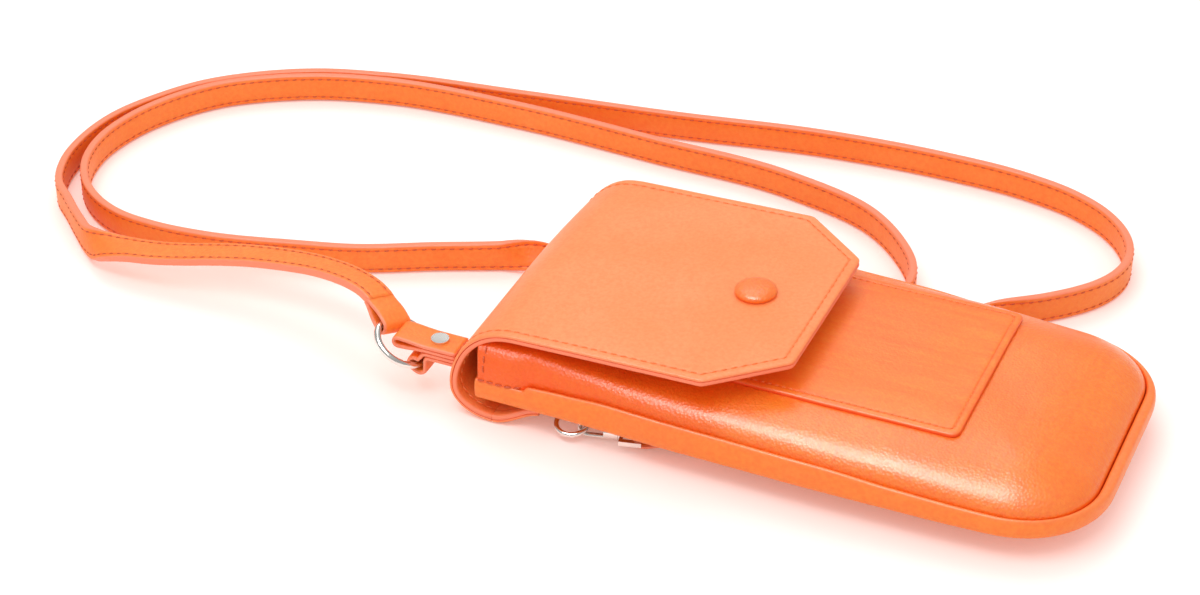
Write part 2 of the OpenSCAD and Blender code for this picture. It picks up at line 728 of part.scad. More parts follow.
// Stem with its head, hub and the flat frame that the strap's end goes round
module hook_swivel() {
    frame_half = loop_in + 2 * hook_wire;
    window_x = hub_x + hub_l + hook_wire / 2;
    color("silver") on_hook() {
        rod([eye_end + fit_gap, 0, 0], head_t, head_r);
        rod([eye_end + fit_gap, 0, 0], hub_x + hub_l - eye_end - fit_gap, stem_r);
        rod([hub_x, 0, 0], hub_l, collar_r);
        translate([0, 0, -hook_wire]) linear_extrude(2 * hook_wire) difference() {
            translate([hub_x + hub_l / 2, -frame_half])
                square([loop_bar_x + hook_wire - hub_x - hub_l / 2, 2 * frame_half]);
            translate([window_x, -loop_in])
                square([loop_bar_x - hook_wire - window_x, 2 * loop_in]);
        }
    }
}

module strap() {
    color("chocolate") loft([for (i = [0:len(route) - 1]) strap_ring(i)]);
}

// The end loop lies square to the ring, its length along the ring's radius
module strap_end_ring() {
    wall_r = slot_r + skive_t;
    near = ring_r - strap_arc_drop - wire_gap;
    color("chocolate") placed() translate([ring_x, ring_y, ring_z])
        rotate([0, ring_tilt, 0]) rotate([0, 0, strap_angle])
            translate([0, strap_w / 2, 0]) rotate([quarter, 0, 0]) linear_extrude(strap_w)
                difference() {
                    union() {
                        slot([near, 0], [1, 0], ring_r - near, wall_r);
                        polygon([[ring_r, -wall_r], [ring_r + strap_lead, -strap_t / 2],
                                 [ring_r + strap_lead, strap_t / 2], [ring_r, wall_r]]);
                    }
                    slot([near, 0], [1, 0], ring_r - near, slot_r);
                }
}

module strap_end_hook() {
    wall_r = loop_bore + skive_t;
    color("chocolate") on_hook() strip(strap_end_w, 0) difference() {
        union() {
            translate([loop_bar_x, 0]) circle(r = wall_r);
            polygon([[loop_bar_x, -wall_r], [strap_end_x, -strap_t / 2],
                     [strap_end_x, strap_t / 2], [loop_bar_x, wall_r]]);
        }
        translate([loop_bar_x, 0]) circle(r = loop_bore);
    }
}

back_shell();
front_shell();
back_lining();
front_lining();
card_pocket();
flap_leather();
flap_lining();
flap_fold();
fold_back();
fold_side();
button_cap();
button_post();
snap_socket();
snap_stud();
snap_eyelet();
ring_tab_loop();
ring_tab_cover();
tab_rivet();
ring();
back_tab();
back_tab_rivet();
d_ring();
hook_body();
hook_gate();
gate_pin();
hook_swivel();
strap();
strap_end_ring();
strap_end_hook();
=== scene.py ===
"""Leather phone pouch with a folded snap flap, a card pocket and a long flat strap."""
import math

import bmesh
import bpy
from mathutils import Matrix, Vector, noise


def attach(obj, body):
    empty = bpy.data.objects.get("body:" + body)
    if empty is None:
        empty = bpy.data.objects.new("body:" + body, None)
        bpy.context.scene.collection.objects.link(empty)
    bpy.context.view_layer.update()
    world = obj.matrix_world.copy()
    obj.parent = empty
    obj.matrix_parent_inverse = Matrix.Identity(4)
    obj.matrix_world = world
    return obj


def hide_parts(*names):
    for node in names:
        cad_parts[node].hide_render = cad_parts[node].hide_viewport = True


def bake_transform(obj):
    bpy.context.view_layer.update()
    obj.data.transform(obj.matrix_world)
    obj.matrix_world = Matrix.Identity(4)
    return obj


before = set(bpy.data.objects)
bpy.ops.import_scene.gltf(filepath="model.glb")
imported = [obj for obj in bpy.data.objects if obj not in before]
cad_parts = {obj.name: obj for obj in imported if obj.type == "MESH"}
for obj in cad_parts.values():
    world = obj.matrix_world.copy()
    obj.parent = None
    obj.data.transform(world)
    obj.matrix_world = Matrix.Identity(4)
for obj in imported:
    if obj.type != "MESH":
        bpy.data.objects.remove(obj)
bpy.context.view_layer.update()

MM = 0.001
# The row frame's origin in the pouch's frame is (ORIGIN_X, 0, -LIFT), in millimetres
ORIGIN_X = 66.2142
LIFT = 7.3
# Where the noise that ripples the leather starts
SEED = 7.3


def row(p):
    """Point of the pouch's frame in millimetres to the row frame in metres."""
    return ((p[0] - ORIGIN_X) * MM, p[1] * MM, (p[2] + LIFT) * MM)


# ---------------------------------------------------------------- camera
RIGHT = Vector((0.91641902, 0.40020847, 0.003058))
UP = Vector((-0.2294665, 0.51915396, 0.82330085))
AHEAD = Vector((-0.3279044, 0.75519027, -0.567597))
CAMERA_AT = Vector((0.225781, -0.649618, 0.506068))
LENS, SENSOR = 84, 36
NEAR_CLIP, FAR_CLIP = 0.01, 20

cam_data = bpy.data.cameras.new("camera")
cam_data.sensor_fit = "HORIZONTAL"
cam_data.sensor_width = SENSOR
cam_data.lens = LENS
cam_data.clip_start = NEAR_CLIP
cam_data.clip_end = FAR_CLIP
cam = bpy.data.objects.new("camera", cam_data)
bpy.context.scene.collection.objects.link(cam)
turn = Matrix((RIGHT, UP, -AHEAD)).transposed().to_4x4()
cam.matrix_world = Matrix.Translation(CAMERA_AT) @ turn
bpy.context.scene.camera = cam


# ---------------------------------------------------------------- materials
def empty_tree(owner, kind):
    """The owner's cleared node tree and its output node."""
    owner.use_nodes = True
    tree = owner.node_tree
    tree.nodes.clear()
    return tree, tree.nodes.new(kind)


def shader(name):
    """New material with one Principled shader."""
    mat = bpy.data.materials.new(name)
    tree, out = empty_tree(mat, "ShaderNodeOutputMaterial")
    bsdf = tree.nodes.new("ShaderNodeBsdfPrincipled")
    tree.links.new(bsdf.outputs[0], out.inputs[0])
    return mat, tree, bsdf


def feed(tree, socket, value):
    """Link another node's output to the socket, or set a plain value on it."""
    if hasattr(value, "is_output"):
        tree.links.new(value, socket)
    elif socket.type == "RGBA":
        socket.default_value = (*value, 1)
    else:
        socket.default_value = value


def node(tree, kind, inputs=None, **props):
    """New node with its properties set and its inputs fed."""
    n = tree.nodes.new(kind)
    for key, value in props.items():
        setattr(n, key, value)
    for key, value in (inputs or {}).items():
        feed(tree, n.inputs[key], value)
    return n


def object_space(tree):
    return node(tree, "ShaderNodeTexCoord").outputs["Object"]


def noise_tex(tree, at, scale, detail=2.0, rough=0.5):
    """Noise of so many cells a metre."""
    return node(tree, "ShaderNodeTexNoise", {"Vector": at, "Scale": scale, "Detail": detail,
                                             "Roughness": rough}).outputs["Fac"]


def wave(tree, at, scale, distortion, direction):
    return node(tree, "ShaderNodeTexWave", {"Vector": at, "Scale": scale,
                                            "Distortion": distortion},
                bands_direction=direction).outputs["Fac"]


def span(tree, value, low, high, to_low=0.0, to_high=1.0):
    """The value's range from low to high, clamped and mapped to another range."""
    return node(tree, "ShaderNodeMapRange", {"Value": value, "From Min": low, "From Max": high,
                                             "To Min": to_low, "To Max": to_high}).outputs[0]


def blend_colour(tree, fac, a, b):
    return node(tree, "ShaderNodeMix", {0: fac, 6: a, 7: b}, data_type="RGBA").outputs[2]


def maths(tree, op, a, b):
    return node(tree, "ShaderNodeMath", {0: a, 1: b}, operation=op).outputs[0]


def painted(tree, name):
    """Value that the mesh carries at its points."""
    return node(tree, "ShaderNodeAttribute", attribute_name=name).outputs["Fac"]


def emboss(tree, bsdf, height, strength, distance):
    """Bump of a height on the shader."""
    bump = node(tree, "ShaderNodeBump", {"Height": height, "Strength": strength,
                                         "Distance": distance})
    tree.links.new(bump.outputs[0], bsdf.inputs["Normal"])


# Scales of the leather's noises, in cells a metre
MOTTLE, FINE, LINES, CELLS, PORES, GLOSS = 34, 800, 260, 1150.0, 2600, 60
LEATHER_DEPTH, THREAD_DEPTH, CLOTH_DEPTH = 0.0005, 0.0001, 0.0002


def leather(name, base, deep, light, stretch=(1, 1, 1), streak=0.0, pebble=0.5, rough=0.44,
            coat=0.12, coat_rough=0.3, grain=0.16):
    """Leather with soft mottling, fine grain, painted edges, and painted shade that darkens its
    grooves.
    """
    mat, tree, bsdf = shader(name)
    at = object_space(tree)
    long = node(tree, "ShaderNodeMapping", {"Vector": at, "Scale": stretch}).outputs[0]
    mottle = span(tree, noise_tex(tree, at, MOTTLE, 3), 0.36, 0.66)
    colour = blend_colour(tree, mottle, base, light)
    fine = span(tree, noise_tex(tree, at, FINE, 3), 0.36, 0.68, 0.0, 0.4)
    colour = blend_colour(tree, fine, colour, deep)
    lines = noise_tex(tree, long, LINES, 3, 0.6)
    colour = blend_colour(tree, span(tree, lines, 0.42, 0.72, 0.0, streak), colour, deep)
    colour = blend_colour(tree, painted(tree, "edge"), colour, EDGE)
    shade = painted(tree, "shade")
    # Painted shade: the shade attribute mixes in a deep red in grooves, under the flap and round
    # the button's foot
    colour = blend_colour(tree, shade, colour, GROOVE_AND_PAINTED_SHADE)
    tree.links.new(colour, bsdf.inputs["Base Color"])
    cells = node(tree, "ShaderNodeTexVoronoi", {"Vector": at, "Scale": CELLS,
                                                "Randomness": 1.0}).outputs["Distance"]
    high = maths(tree, "MULTIPLY", cells, pebble)
    high = maths(tree, "ADD", high, maths(tree, "MULTIPLY", lines, 0.35 + streak))
    pores = maths(tree, "MULTIPLY", noise_tex(tree, at, PORES, 2), 0.3)
    emboss(tree, bsdf, maths(tree, "ADD", high, pores), grain, LEATHER_DEPTH)
    gloss = span(tree, noise_tex(tree, at, GLOSS, 4), 0.3, 0.7, rough - 0.05, rough + 0.09)
    tree.links.new(gloss, bsdf.inputs["Roughness"])
    tree.links.new(span(tree, shade, 0.0, 0.6, coat, 0.0), bsdf.inputs["Coat Weight"])
    bsdf.inputs["Coat Roughness"].default_value = coat_rough
    bsdf.inputs["Specular IOR Level"].default_value = 0.45
    return mat


EDGE = (0.98, 0.25, 0.125)
# Deep red of painted shade in grooves, hollows and under the flap, and of the dark glue line
# between the flap's layers
GROOVE_AND_PAINTED_SHADE = (0.93, 0.075, 0.006)
ORANGE = (0.98, 0.195, 0.008)
ORANGE_DEEP = (0.94, 0.105, 0.004)
ORANGE_LIGHT = (0.99, 0.24, 0.018)
leather_flap = leather("leather_flap", (0.98, 0.265, 0.07), (0.96, 0.17, 0.022),
                       (0.99, 0.30, 0.10), pebble=0.5, streak=0.06, rough=0.46, coat=0.2,
                       grain=0.22)
leather_panel = leather("leather_panel", ORANGE, ORANGE_DEEP, ORANGE_LIGHT,
                        stretch=(1.6, 0.25, 0.4), streak=0.22, pebble=0.8, rough=0.36, coat=0.6,
                        coat_rough=0.3, grain=0.36)
leather_pocket = leather("leather_pocket", (0.98, 0.225, 0.024), ORANGE_DEEP, ORANGE_LIGHT,
                         stretch=(0.16, 1.5, 1), streak=0.4, rough=0.4, coat=0.3, grain=0.25)
leather_back = leather("leather_back", (0.98, 0.22, 0.022), ORANGE_DEEP, ORANGE_LIGHT,
                       stretch=(0.5, 1, 1), streak=0.1, rough=0.42)
leather_strap = leather("leather_strap", (0.98, 0.225, 0.016), (0.95, 0.12, 0.005),
                        (0.99, 0.255, 0.03), pebble=0.7, streak=0.12, rough=0.5, grain=0.25)
leather_inner = leather("leather_inner", (0.99, 0.205, 0.03), (0.98, 0.12, 0.008),
                        (0.99, 0.24, 0.05), pebble=0.8, streak=0.05, rough=0.62, coat=0.0)


def thread_material(name, dark, light):
    """Twisted sewing thread."""
    mat, tree, bsdf = shader(name)
    twist = wave(tree, object_space(tree), 900.0, 2.0, "DIAGONAL")
    tree.links.new(blend_colour(tree, twist, dark, light), bsdf.inputs["Base Color"])
    emboss(tree, bsdf, twist, 0.3, THREAD_DEPTH)
    bsdf.inputs["Roughness"].default_value = 0.55
    return mat


def cloth_material():
    """Plain woven lining."""
    mat, tree, bsdf = shader("lining_cloth")
    at = object_space(tree)
    weave = maths(tree, "MULTIPLY", wave(tree, at, 420.0, 0.6, "X"),
                  wave(tree, at, 420.0, 0.6, "Y"))
    soft = span(tree, noise_tex(tree, at, 50, 3), 0.35, 0.65, 0.0, 0.35)
    colour = blend_colour(tree, weave, (0.40, 0.21, 0.11), (0.62, 0.37, 0.21))
    colour = blend_colour(tree, soft, colour, (0.50, 0.27, 0.14))
    tree.links.new(colour, bsdf.inputs["Base Color"])
    emboss(tree, bsdf, weave, 0.4, CLOTH_DEPTH)
    bsdf.inputs["Roughness"].default_value = 0.85
    bsdf.inputs["Sheen Weight"].default_value = 0.2
    return mat


def nickel_material():
    """Polished metal with faint smudges and scratches."""
    mat, tree, bsdf = shader("nickel")
    at = object_space(tree)
    smudge = noise_tex(tree, at, 180, 4)
    colour = blend_colour(tree, span(tree, smudge, 0.35, 0.7), (0.84, 0.81, 0.77),
                          (0.72, 0.69, 0.65))
    tree.links.new(colour, bsdf.inputs["Base Color"])
    scratch = node(tree, "ShaderNodeMapping", {"Vector": at, "Scale": (1, 0.12, 1)}).outputs[0]
    tree.links.new(span(tree, smudge, 0.3, 0.7, 0.14, 0.26), bsdf.inputs["Roughness"])
    emboss(tree, bsdf, noise_tex(tree, scratch, 2400, 2), 0.05, THREAD_DEPTH)
    bsdf.inputs["Metallic"].default_value = 1.0
    return mat


thread = thread_material("thread", (0.90, 0.15, 0.02), (0.98, 0.26, 0.06))
strap_thread = thread_material("strap_thread", (0.56, 0.06, 0.01), (0.74, 0.11, 0.02))
cloth = cloth_material()
nickel = nickel_material()


# ---------------------------------------------------------------- mesh helpers
def coat_with(obj, mat):
    obj.data.materials.clear()
    obj.data.materials.append(mat)


# Points closer than this are one, in metres
WELD = 2e-6


def finish_mesh(name, shape, mat, body, subdiv=0, slot="leather", fill=False):
    """Object of a shape, divided subdiv times; it rides on the body, unless that is None."""
    me = bpy.data.meshes.new(name)
    me.from_pydata([row(p) for p in shape.points], [], shape.faces)
    for key in ("shade", "edge"):
        me.attributes.new(key, "FLOAT", "POINT").data.foreach_set("value", getattr(shape, key))
    bm = bmesh.new()
    bm.from_mesh(me)
    bmesh.ops.remove_doubles(bm, verts=bm.verts, dist=WELD)
    bmesh.ops.dissolve_degenerate(bm, dist=WELD / 2, edges=bm.edges)
    if fill:
        bmesh.ops.holes_fill(bm, edges=bm.edges, sides=0)
    bmesh.ops.recalc_face_normals(bm, faces=bm.faces)
    bm.to_mesh(me)
    bm.free()
    me.polygons.foreach_set("use_smooth", [True] * len(me.polygons))
    obj = bpy.data.objects.new(name, me)
    bpy.context.scene.collection.objects.link(obj)
    if subdiv:
        mod = obj.modifiers.new("smooth", "SUBSURF")
        mod.levels = mod.render_levels = subdiv
        depsgraph = bpy.context.evaluated_depsgraph_get()
        final = bpy.data.meshes.new_from_object(obj.evaluated_get(depsgraph))
        obj.modifiers.clear()
        obj.data = final
        bpy.data.meshes.remove(me)
    coat_with(obj, mat)
    if body:
        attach(obj, body)
    return obj


class Shape:
    """Points with a shade and an edge value, and faces."""

    def __init__(self):
        self.points, self.shade, self.edge, self.faces = [], [], [], []

    def line(self, points, shade=0.0, edge=0.0):
        """Add points and give their numbers."""
        first = len(self.points)
        self.points += [tuple(p) for p in points]
        self.shade += [shade] * len(points)
        self.edge += [edge] * len(points)
        return list(range(first, first + len(points)))

    def strip(self, a, b, loop=False):
        """Faces between two lines or, as a loop, between two rings."""
        n = len(a)
        for i in range(n if loop else n - 1):
            j = (i + 1) % n
            self.faces.append((a[i], a[j], b[j], b[i]))

    def tube(self, rings):
        """Faces along rings and over both ends."""
        for a, b in zip(rings, rings[1:]):
            self.strip(a, b, loop=True)
        self.faces.append(tuple(rings[0]))
        self.faces.append(tuple(rings[-1]))

    def close(self, ring):
        """Faces across a ring, whose second half mirrors the first."""
        half = len(ring) // 2 + 1
        self.strip(ring[:half], ring[::-1][:half])

    def object(self, name, mat, body, *nodes, **more):
        """Object that stands in for the nodes."""
        obj = finish_mesh(name, self, mat, body, **more)
        if nodes:
            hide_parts(*nodes)
        return obj


def mix(a, b, t):
    return a + (b - a) * t


def unit(t):
    """The value held between 0 and 1."""
    return min(max(t, 0.0), 1.0)


def ease(t):
    """Smooth step from 0 to 1."""
    return t * t * (3 - 2 * t)


def along(x, pairs):
    """Smooth value at x from pairs of (x, value)."""
    if x <= pairs[0][0]:
        return pairs[0][1]
    for (x0, v0), (x1, v1) in zip(pairs, pairs[1:]):
        if x <= x1:
            return mix(v0, v1, ease((x - x0) / (x1 - x0)))
    return pairs[-1][1]


def ripple(x, y, size, height, seed=0.0):
    """Soft unevenness of the leather, with waves of about a size."""
    return height * noise.noise(Vector((x / size + SEED + seed, y / size, 0)))


def both_sides(side):
    """Line of a half, which ends at the middle, and of its mirror image."""
    return [(x, -y) for x, y in side] + list(reversed(side))


def circle(centre, e1, e2, steps):
    """Points round a centre; the two vectors are its radii."""
    return [centre + e1 * math.cos(a) + e2 * math.sin(a)
            for a in (2 * math.pi * k / steps for k in range(steps))]


def fillet(p, q, r, radius, steps):
    """Points of the round corner at q between p and r."""
    p, q, r = Vector(p), Vector(q), Vector(r)
    a, b = (p - q).normalized(), (r - q).normalized()
    half = a.angle(b) / 2
    run = radius / math.tan(half)
    start, end = q + a * run, q + b * run
    points = []
    for i in range(steps + 1):
        t = i / steps
        bend = (1 - t) ** 2 * start + 2 * t * (1 - t) * q + t ** 2 * end
        points.append((bend.x, bend.y))
    return points


def bezier(p, t):
    """Point of a cubic curve with four control points."""
    a, b, c, d = (1 - t) ** 3, 3 * (1 - t) ** 2 * t, 3 * (1 - t) * t * t, t ** 3
    return tuple(a * p[0][k] + b * p[1][k] + c * p[2][k] + d * p[3][k] for k in (0, 1))


def bezier_way(p, t):
    """The curve's direction."""
    a, b, c = (1 - t) ** 2, 2 * (1 - t) * t, t * t
    way = [a * (p[1][k] - p[0][k]) + b * (p[2][k] - p[1][k]) + c * (p[3][k] - p[2][k])
           for k in (0, 1)]
    size = math.hypot(*way)
    return way[0] / size, way[1] / size


# ---------------------------------------------------------------- stitches
# Pitch, length and radius of the seams' stitches
STRAP_SEAM = (3.0, 1.7, 0.25)
FLAP_SEAM = (3.1, 2.3, 0.27)
PANEL_SEAM = (3.1, 2.3, 0.26)
BACK_SEAM = (3.2, 2.4, 0.27)
MOUTH_SEAM = (2.9, 2.2, 0.3)
CARD_SEAM = (2.2, 1.3, 0.26)
BOW_STEPS, THREAD_SIDES = 6, 6
# Share of a stitch's length by which it slants, and of its radius that its ends keep
SLANT, THREAD_END = 0.12, 0.55


def stitch_mesh(shape, path, pitch, length, radius):
    """Threads on a path of (point, normal), each a short bow that dips in at its ends."""
    points = [Vector(p) for p, n in path]
    normals = [Vector(n).normalized() for p, n in path]
    runs = [0.0]
    for a, b in zip(points, points[1:]):
        runs.append(runs[-1] + (b - a).length)

    def spot(s):
        """Point, normal and direction at a run along the path."""
        for i in range(len(runs) - 1):
            if s <= runs[i + 1]:
                break
        t = (s - runs[i]) / max(runs[i + 1] - runs[i], 1e-9)
        way = (points[i + 1] - points[i]).normalized()
        up = normals[i].lerp(normals[i + 1], t).normalized()
        return points[i].lerp(points[i + 1], t), up, way

    count = int((runs[-1] - length) / pitch)
    start = (runs[-1] - count * pitch) / 2
    for k in range(count + 1):
        rings = []
        for j in range(BOW_STEPS + 1):
            t = j / BOW_STEPS
            s = min(max(start + k * pitch + (t - 0.5) * length, 0.0), runs[-1])
            at, up, way = spot(s)
            side = up.cross(way).normalized()
            bow = math.sin(math.pi * t)
            thick = radius * mix(THREAD_END, 1, bow ** 0.5 if bow > 0 else 0)
            at = at + up * (radius * (1.15 * bow ** 0.6 - 0.8 if bow > 0 else -0.8))
            at = at + side * ((t - 0.5) * length * SLANT)
            rings.append(shape.line(circle(at, side * thick, up * thick, THREAD_SIDES)))
        shape.tube(rings)


# ---------------------------------------------------------------- strap
ROUTE = [
    (-116.5, -31.4, 21.2, 15), (-119.4, -29.9, 21.9, 13), (-122.6, -28.6, 22.25, 11),
    (-126.2, -27.3, 22.3, 9), (-130.5, -25.9, 22, 7), (-141, -22.9, 20.4, 4),
    (-154, -21, 18.1, 1), (-166, -20.8, 16.2, 0), (-180, -22, 13.8, -1),
    (-190, -23.4, 12, -2), (-200, -24.4, 10.4, -4), (-210, -24.8, 9.2, -8),
    (-217.5, -24.6, 8, -26), (-223, -23.2, 6.6, -58), (-228.5, -20.4, 5.6, -84),
    (-234.6, -15.4, 5.3, -88), (-245, -6, 5.1, -90), (-252.5, 0.7, 5.1, -90),
    (-258.4, 12.5, 5.1, -90), (-260.8, 28.5, 5.1, -90), (-258.4, 47, 5.1, -90),
    (-252, 61.4, 5.1, -90), (-242, 76.5, 5.1, -90), (-227.2, 89.6, 5.1, -90),
    (-208.6, 100.3, 5.1, -90), (-186, 107.4, 5.1, -90), (-136, 115.7, 5.1, -90),
    (-84, 123.5, 5.1, -90), (-28, 133.5, 5.1, -90), (10, 136, 5.1, -90),
    (42, 134.3, 5.1, -90), (58, 130.2, 5.1, -90), (71.2, 122.8, 5.1, -90),
    (79.3, 114, 5.1, -90), (83.3, 105.5, 5.1, -90), (84.3, 97.5, 5.1, -90),
    (82.8, 89.5, 5.1, -90), (79.2, 82.2, 5.1, -90), (74.2, 75.9, 5.1, -90),
    (67.4, 69.3, 5.1, -90), (60, 63.2, 5, -82), (54, 58.5, 4.5, -58),
    (48.5, 54.4, 3.2, -25), (43, 50.8, 1.8, -5), (37, 47.4, 1.4, 0), (28, 43.8, 1.4, 0),
    (16, 41.2, 1.4, 0), (-24, 39.5, 1.4, 0), (-62, 40.5, 1.4, 0), (-71, 39.35, 1.4, 0),
    (-78, 37.1, 1.45, 0), (-82.2, 35.5, 1.85, -6), (-86.4, 33.6, 2.95, -19),
    (-90.6, 31.55, 4.15, -38), (-94.8, 29.5, 4.95, -58), (-99, 27.45, 5.15, -76),
    (-103.2, 25.4, 5.1, -88), (-120, 17.6, 5.1, -90), (-146, 5, 5.1, -90),
    (-162, 0.2, 5.1, -90), (-194, -7.6, 5.1, -90), (-211, -8.8, 5.1, -90),
    (-225, -7.2, 5.1, -90), (-236, -2.4, 5.1, -90), (-244.4, 4.4, 5.1, -90),
    (-251.4, 14.6, 5.1, -90), (-255.2, 29, 5.1, -90), (-253.6, 46.5, 5.1, -90),
    (-246.6, 64, 5.1, -90), (-236.4, 78.2, 5.1, -90), (-222, 89.4, 5.1, -90),
    (-205.4, 98, 5.1, -90), (-184.4, 104.2, 5.1, -90), (-134, 107.9, 5.1, -90),
    (-82, 106, 5.1, -90), (-32, 103.4, 5.1, -90), (2, 92, 5.1, -90), (14, 81, 5.1, -90),
    (22, 69.5, 5.1, -90), (25.4, 59, 5.1, -78), (26.6, 54.8, 4.7, -32),
    (27.4, 50.6, 4.5, -5), (27.8, 43, 4.5, 0), (27.5, 35, 4.2, 0), (26, 24, 2, 0),
    (22, 7, 1.4, 0), (15.5, -8, 1.4, 0), (7.5, -20.6, 1.4, 0), (-0.5, -29.6, 1.5, 0),
    (-6.5, -34.8, 2.2, 0), (-11, -37.6, 3.15, 0), (-14, -38.85, 3.6, 0),
    (-17.23, -39.6, 3.65, 0)]
# Half sizes of the strap's section, which narrows to HOOK_HALF at the hook
STRAP_HALF, STRAP_THIN, HOOK_HALF = 5.0, 1.3, 4.0
STITCH_IN, THREAD_IN = 1.5, 0.08
# The strap's ends go this far into their loops, a little slimmer
END_IN, SLIM_HALF, SLIM_THIN = 1.5, 0.1, 0.2
TAPER_STEPS = 9
ROUTE_STEP = 1.6


def smooth_route(points, step):
    """Points of a smooth curve through the route, about a step apart, in the pouch's frame.

    Height and lean don't run past their knots."""
    knots = [Vector((p[0] + ORIGIN_X, p[1], p[2] - LIFT, p[3])) for p in points]
    runs = [0.0]
    for a, b in zip(knots, knots[1:]):
        runs.append(runs[-1] + (b.xyz - a.xyz).length)
    slopes = []
    for i in range(len(knots)):
        if 0 < i < len(knots) - 1:
            h0, h1 = runs[i] - runs[i - 1], runs[i + 1] - runs[i]
            a, b = (knots[i] - knots[i - 1]) / h0, (knots[i + 1] - knots[i]) / h1
            slope = (a * h1 + b * h0) / (h0 + h1)
            for k in (2, 3):
                if a[k] * b[k] <= 0:
                    slope[k] = 0
                else:
                    slope[k] = math.copysign(min(abs(slope[k]), 3 * abs(a[k]), 3 * abs(b[k])),
                                             slope[k])
        else:
            a, b = (0, 1) if i == 0 else (i - 1, i)
            slope = (knots[b] - knots[a]) / (runs[b] - runs[a])
        slopes.append(slope)
    out = []
    for i in range(len(knots) - 1):
        h = runs[i + 1] - runs[i]
        count = max(2, round(h / step))
        for j in range(count):
            t = j / count
            at = knots[i] * (2 * t ** 3 - 3 * t * t + 1)
            at += slopes[i] * (h * (t ** 3 - 2 * t * t + t))
            at += knots[i + 1] * (3 * t * t - 2 * t ** 3)
            at += slopes[i + 1] * (h * (t ** 3 - t * t))
            out.append(at)
    out.append(knots[-1])
    return out


def strap_frames(points):
    """Centre, across and outward vectors at each point of the strap."""
    frames = []
    for i, p in enumerate(points):
        way = (points[min(i + 1, len(points) - 1)].xyz - points[max(i - 1, 0)].xyz).normalized()
        level = Vector((-way.y, way.x, 0)).normalized()
        up = way.cross(level)
        lean = math.radians(p[3])
        across = level * math.cos(lean) + up * math.sin(lean)
        out = up * math.cos(lean) - level * math.sin(lean)
        frames.append((p.xyz, across, out))
    return frames


def section(half, thin, groove=True):
    """Points round a strip's section: (across, out, shade, edge)."""
    quarter = [(half, 0, 0, 1), (half, 0.3 * thin, 0, 1), (half, 0.6 * thin, 0, 1),
               (half - 0.13, thin - 0.26, 0, 1), (half - 0.36, thin - 0.06, 0, 0.6),
               (half - 0.7, thin, 0, 0)]
    if groove:
        quarter += [(half - STITCH_IN + 0.32, thin - 0.01, 0, 0),
                    (half - STITCH_IN, thin - 0.16, 0.75, 0),
                    (half - STITCH_IN - 0.32, thin - 0.01, 0, 0)]
    quarter += [(half * 0.45, thin + 0.05, 0, 0), (0, thin + 0.07, 0, 0)]
    top = quarter + [(-a, b, s, e) for a, b, s, e in reversed(quarter[:-1])]
    return top + [(a, -b, s, e) for a, b, s, e in reversed(top[1:-1])]


def sweep(shape, frames, half, thin, groove=True):
    """A strip along frames of (centre, across, out); half and thin may be one a frame."""
    rings = []
    for i, (centre, across, out) in enumerate(frames):
        wide = half[i] if isinstance(half, list) else half
        thick = thin[i] if isinstance(thin, list) else thin
        rings.append([shape.line([centre + across * a + out * b], s, e)[0]
                      for a, b, s, e in section(wide, thick, groove)])
    shape.tube(rings)


strap_points = smooth_route(ROUTE, ROUTE_STEP)
strap_ways = strap_frames(strap_points)
strap_halves = [STRAP_HALF] * len(strap_ways)
for i in range(TAPER_STEPS):
    strap_halves[-1 - i] = mix(HOOK_HALF, STRAP_HALF, i / TAPER_STEPS)


def carried_on(frames, step):
    """An end frame moved on along the strip, into its end loop; the first, if step is less
    than 0."""
    (a, across, out), (b, _, _) = frames[-1 if step > 0 else 0], frames[-2 if step > 0 else 1]
    return (a + (a - b).normalized() * abs(step), across, out)


all_ways = [carried_on(strap_ways, -END_IN)] + strap_ways + [carried_on(strap_ways, END_IN)]
halves = [STRAP_HALF - SLIM_HALF] + strap_halves + [HOOK_HALF - SLIM_HALF]
end_thin = [STRAP_THIN - SLIM_THIN]
strap_shape = Shape()
sweep(strap_shape, all_ways, halves, end_thin + [STRAP_THIN] * len(strap_ways) + end_thin)
strap = strap_shape.object("strap_leather", leather_strap, "pouch", "strap")

strap_threads = Shape()
for side in (1, -1):
    for face in (1, -1):
        path = []
        for (centre, across, out), wide in zip(strap_ways, strap_halves):
            at = centre + across * (side * (wide - STITCH_IN))
            path.append((at + out * (face * (STRAP_THIN - THREAD_IN)), out * face))
        stitch_mesh(strap_threads, path, *STRAP_SEAM)
strap_stitching = strap_threads.object("strap_stitching", strap_thread, "pouch")

# End loops round the ring and the hook: a folded layer that meets itself at the strap's end
RING_AT = Vector((-37.6, -40, 6.2))
RING_R, RING_TILT = 8.6, math.radians(31)
STRAP_SIDE = math.radians(150)
ring_turn = Matrix.Rotation(RING_TILT, 3, "Y")
radial = ring_turn @ Vector((math.cos(STRAP_SIDE), math.sin(STRAP_SIDE), 0))
ring_up = ring_turn @ Vector((0, 0, 1))
ring_across = ring_up.cross(radial)


def teardrop(far, wire_far, wire_near, radius, half_gap):
    """Plane path of a strip that goes round a wire and back: (along, height)."""
    path = [(far, half_gap)]
    for t in (0.2, 0.4, 0.6, 0.8):
        path.append((mix(far, wire_far, t), mix(half_gap, radius, ease(t))))
    path.append((wire_far, radius))
    for k in range(17):
        a = math.pi / 2 + math.pi * k / 16
        path.append((wire_near + radius * math.cos(a), radius * math.sin(a)))
    path += [(a, -b) for a, b in reversed(path[:6])]
    return path


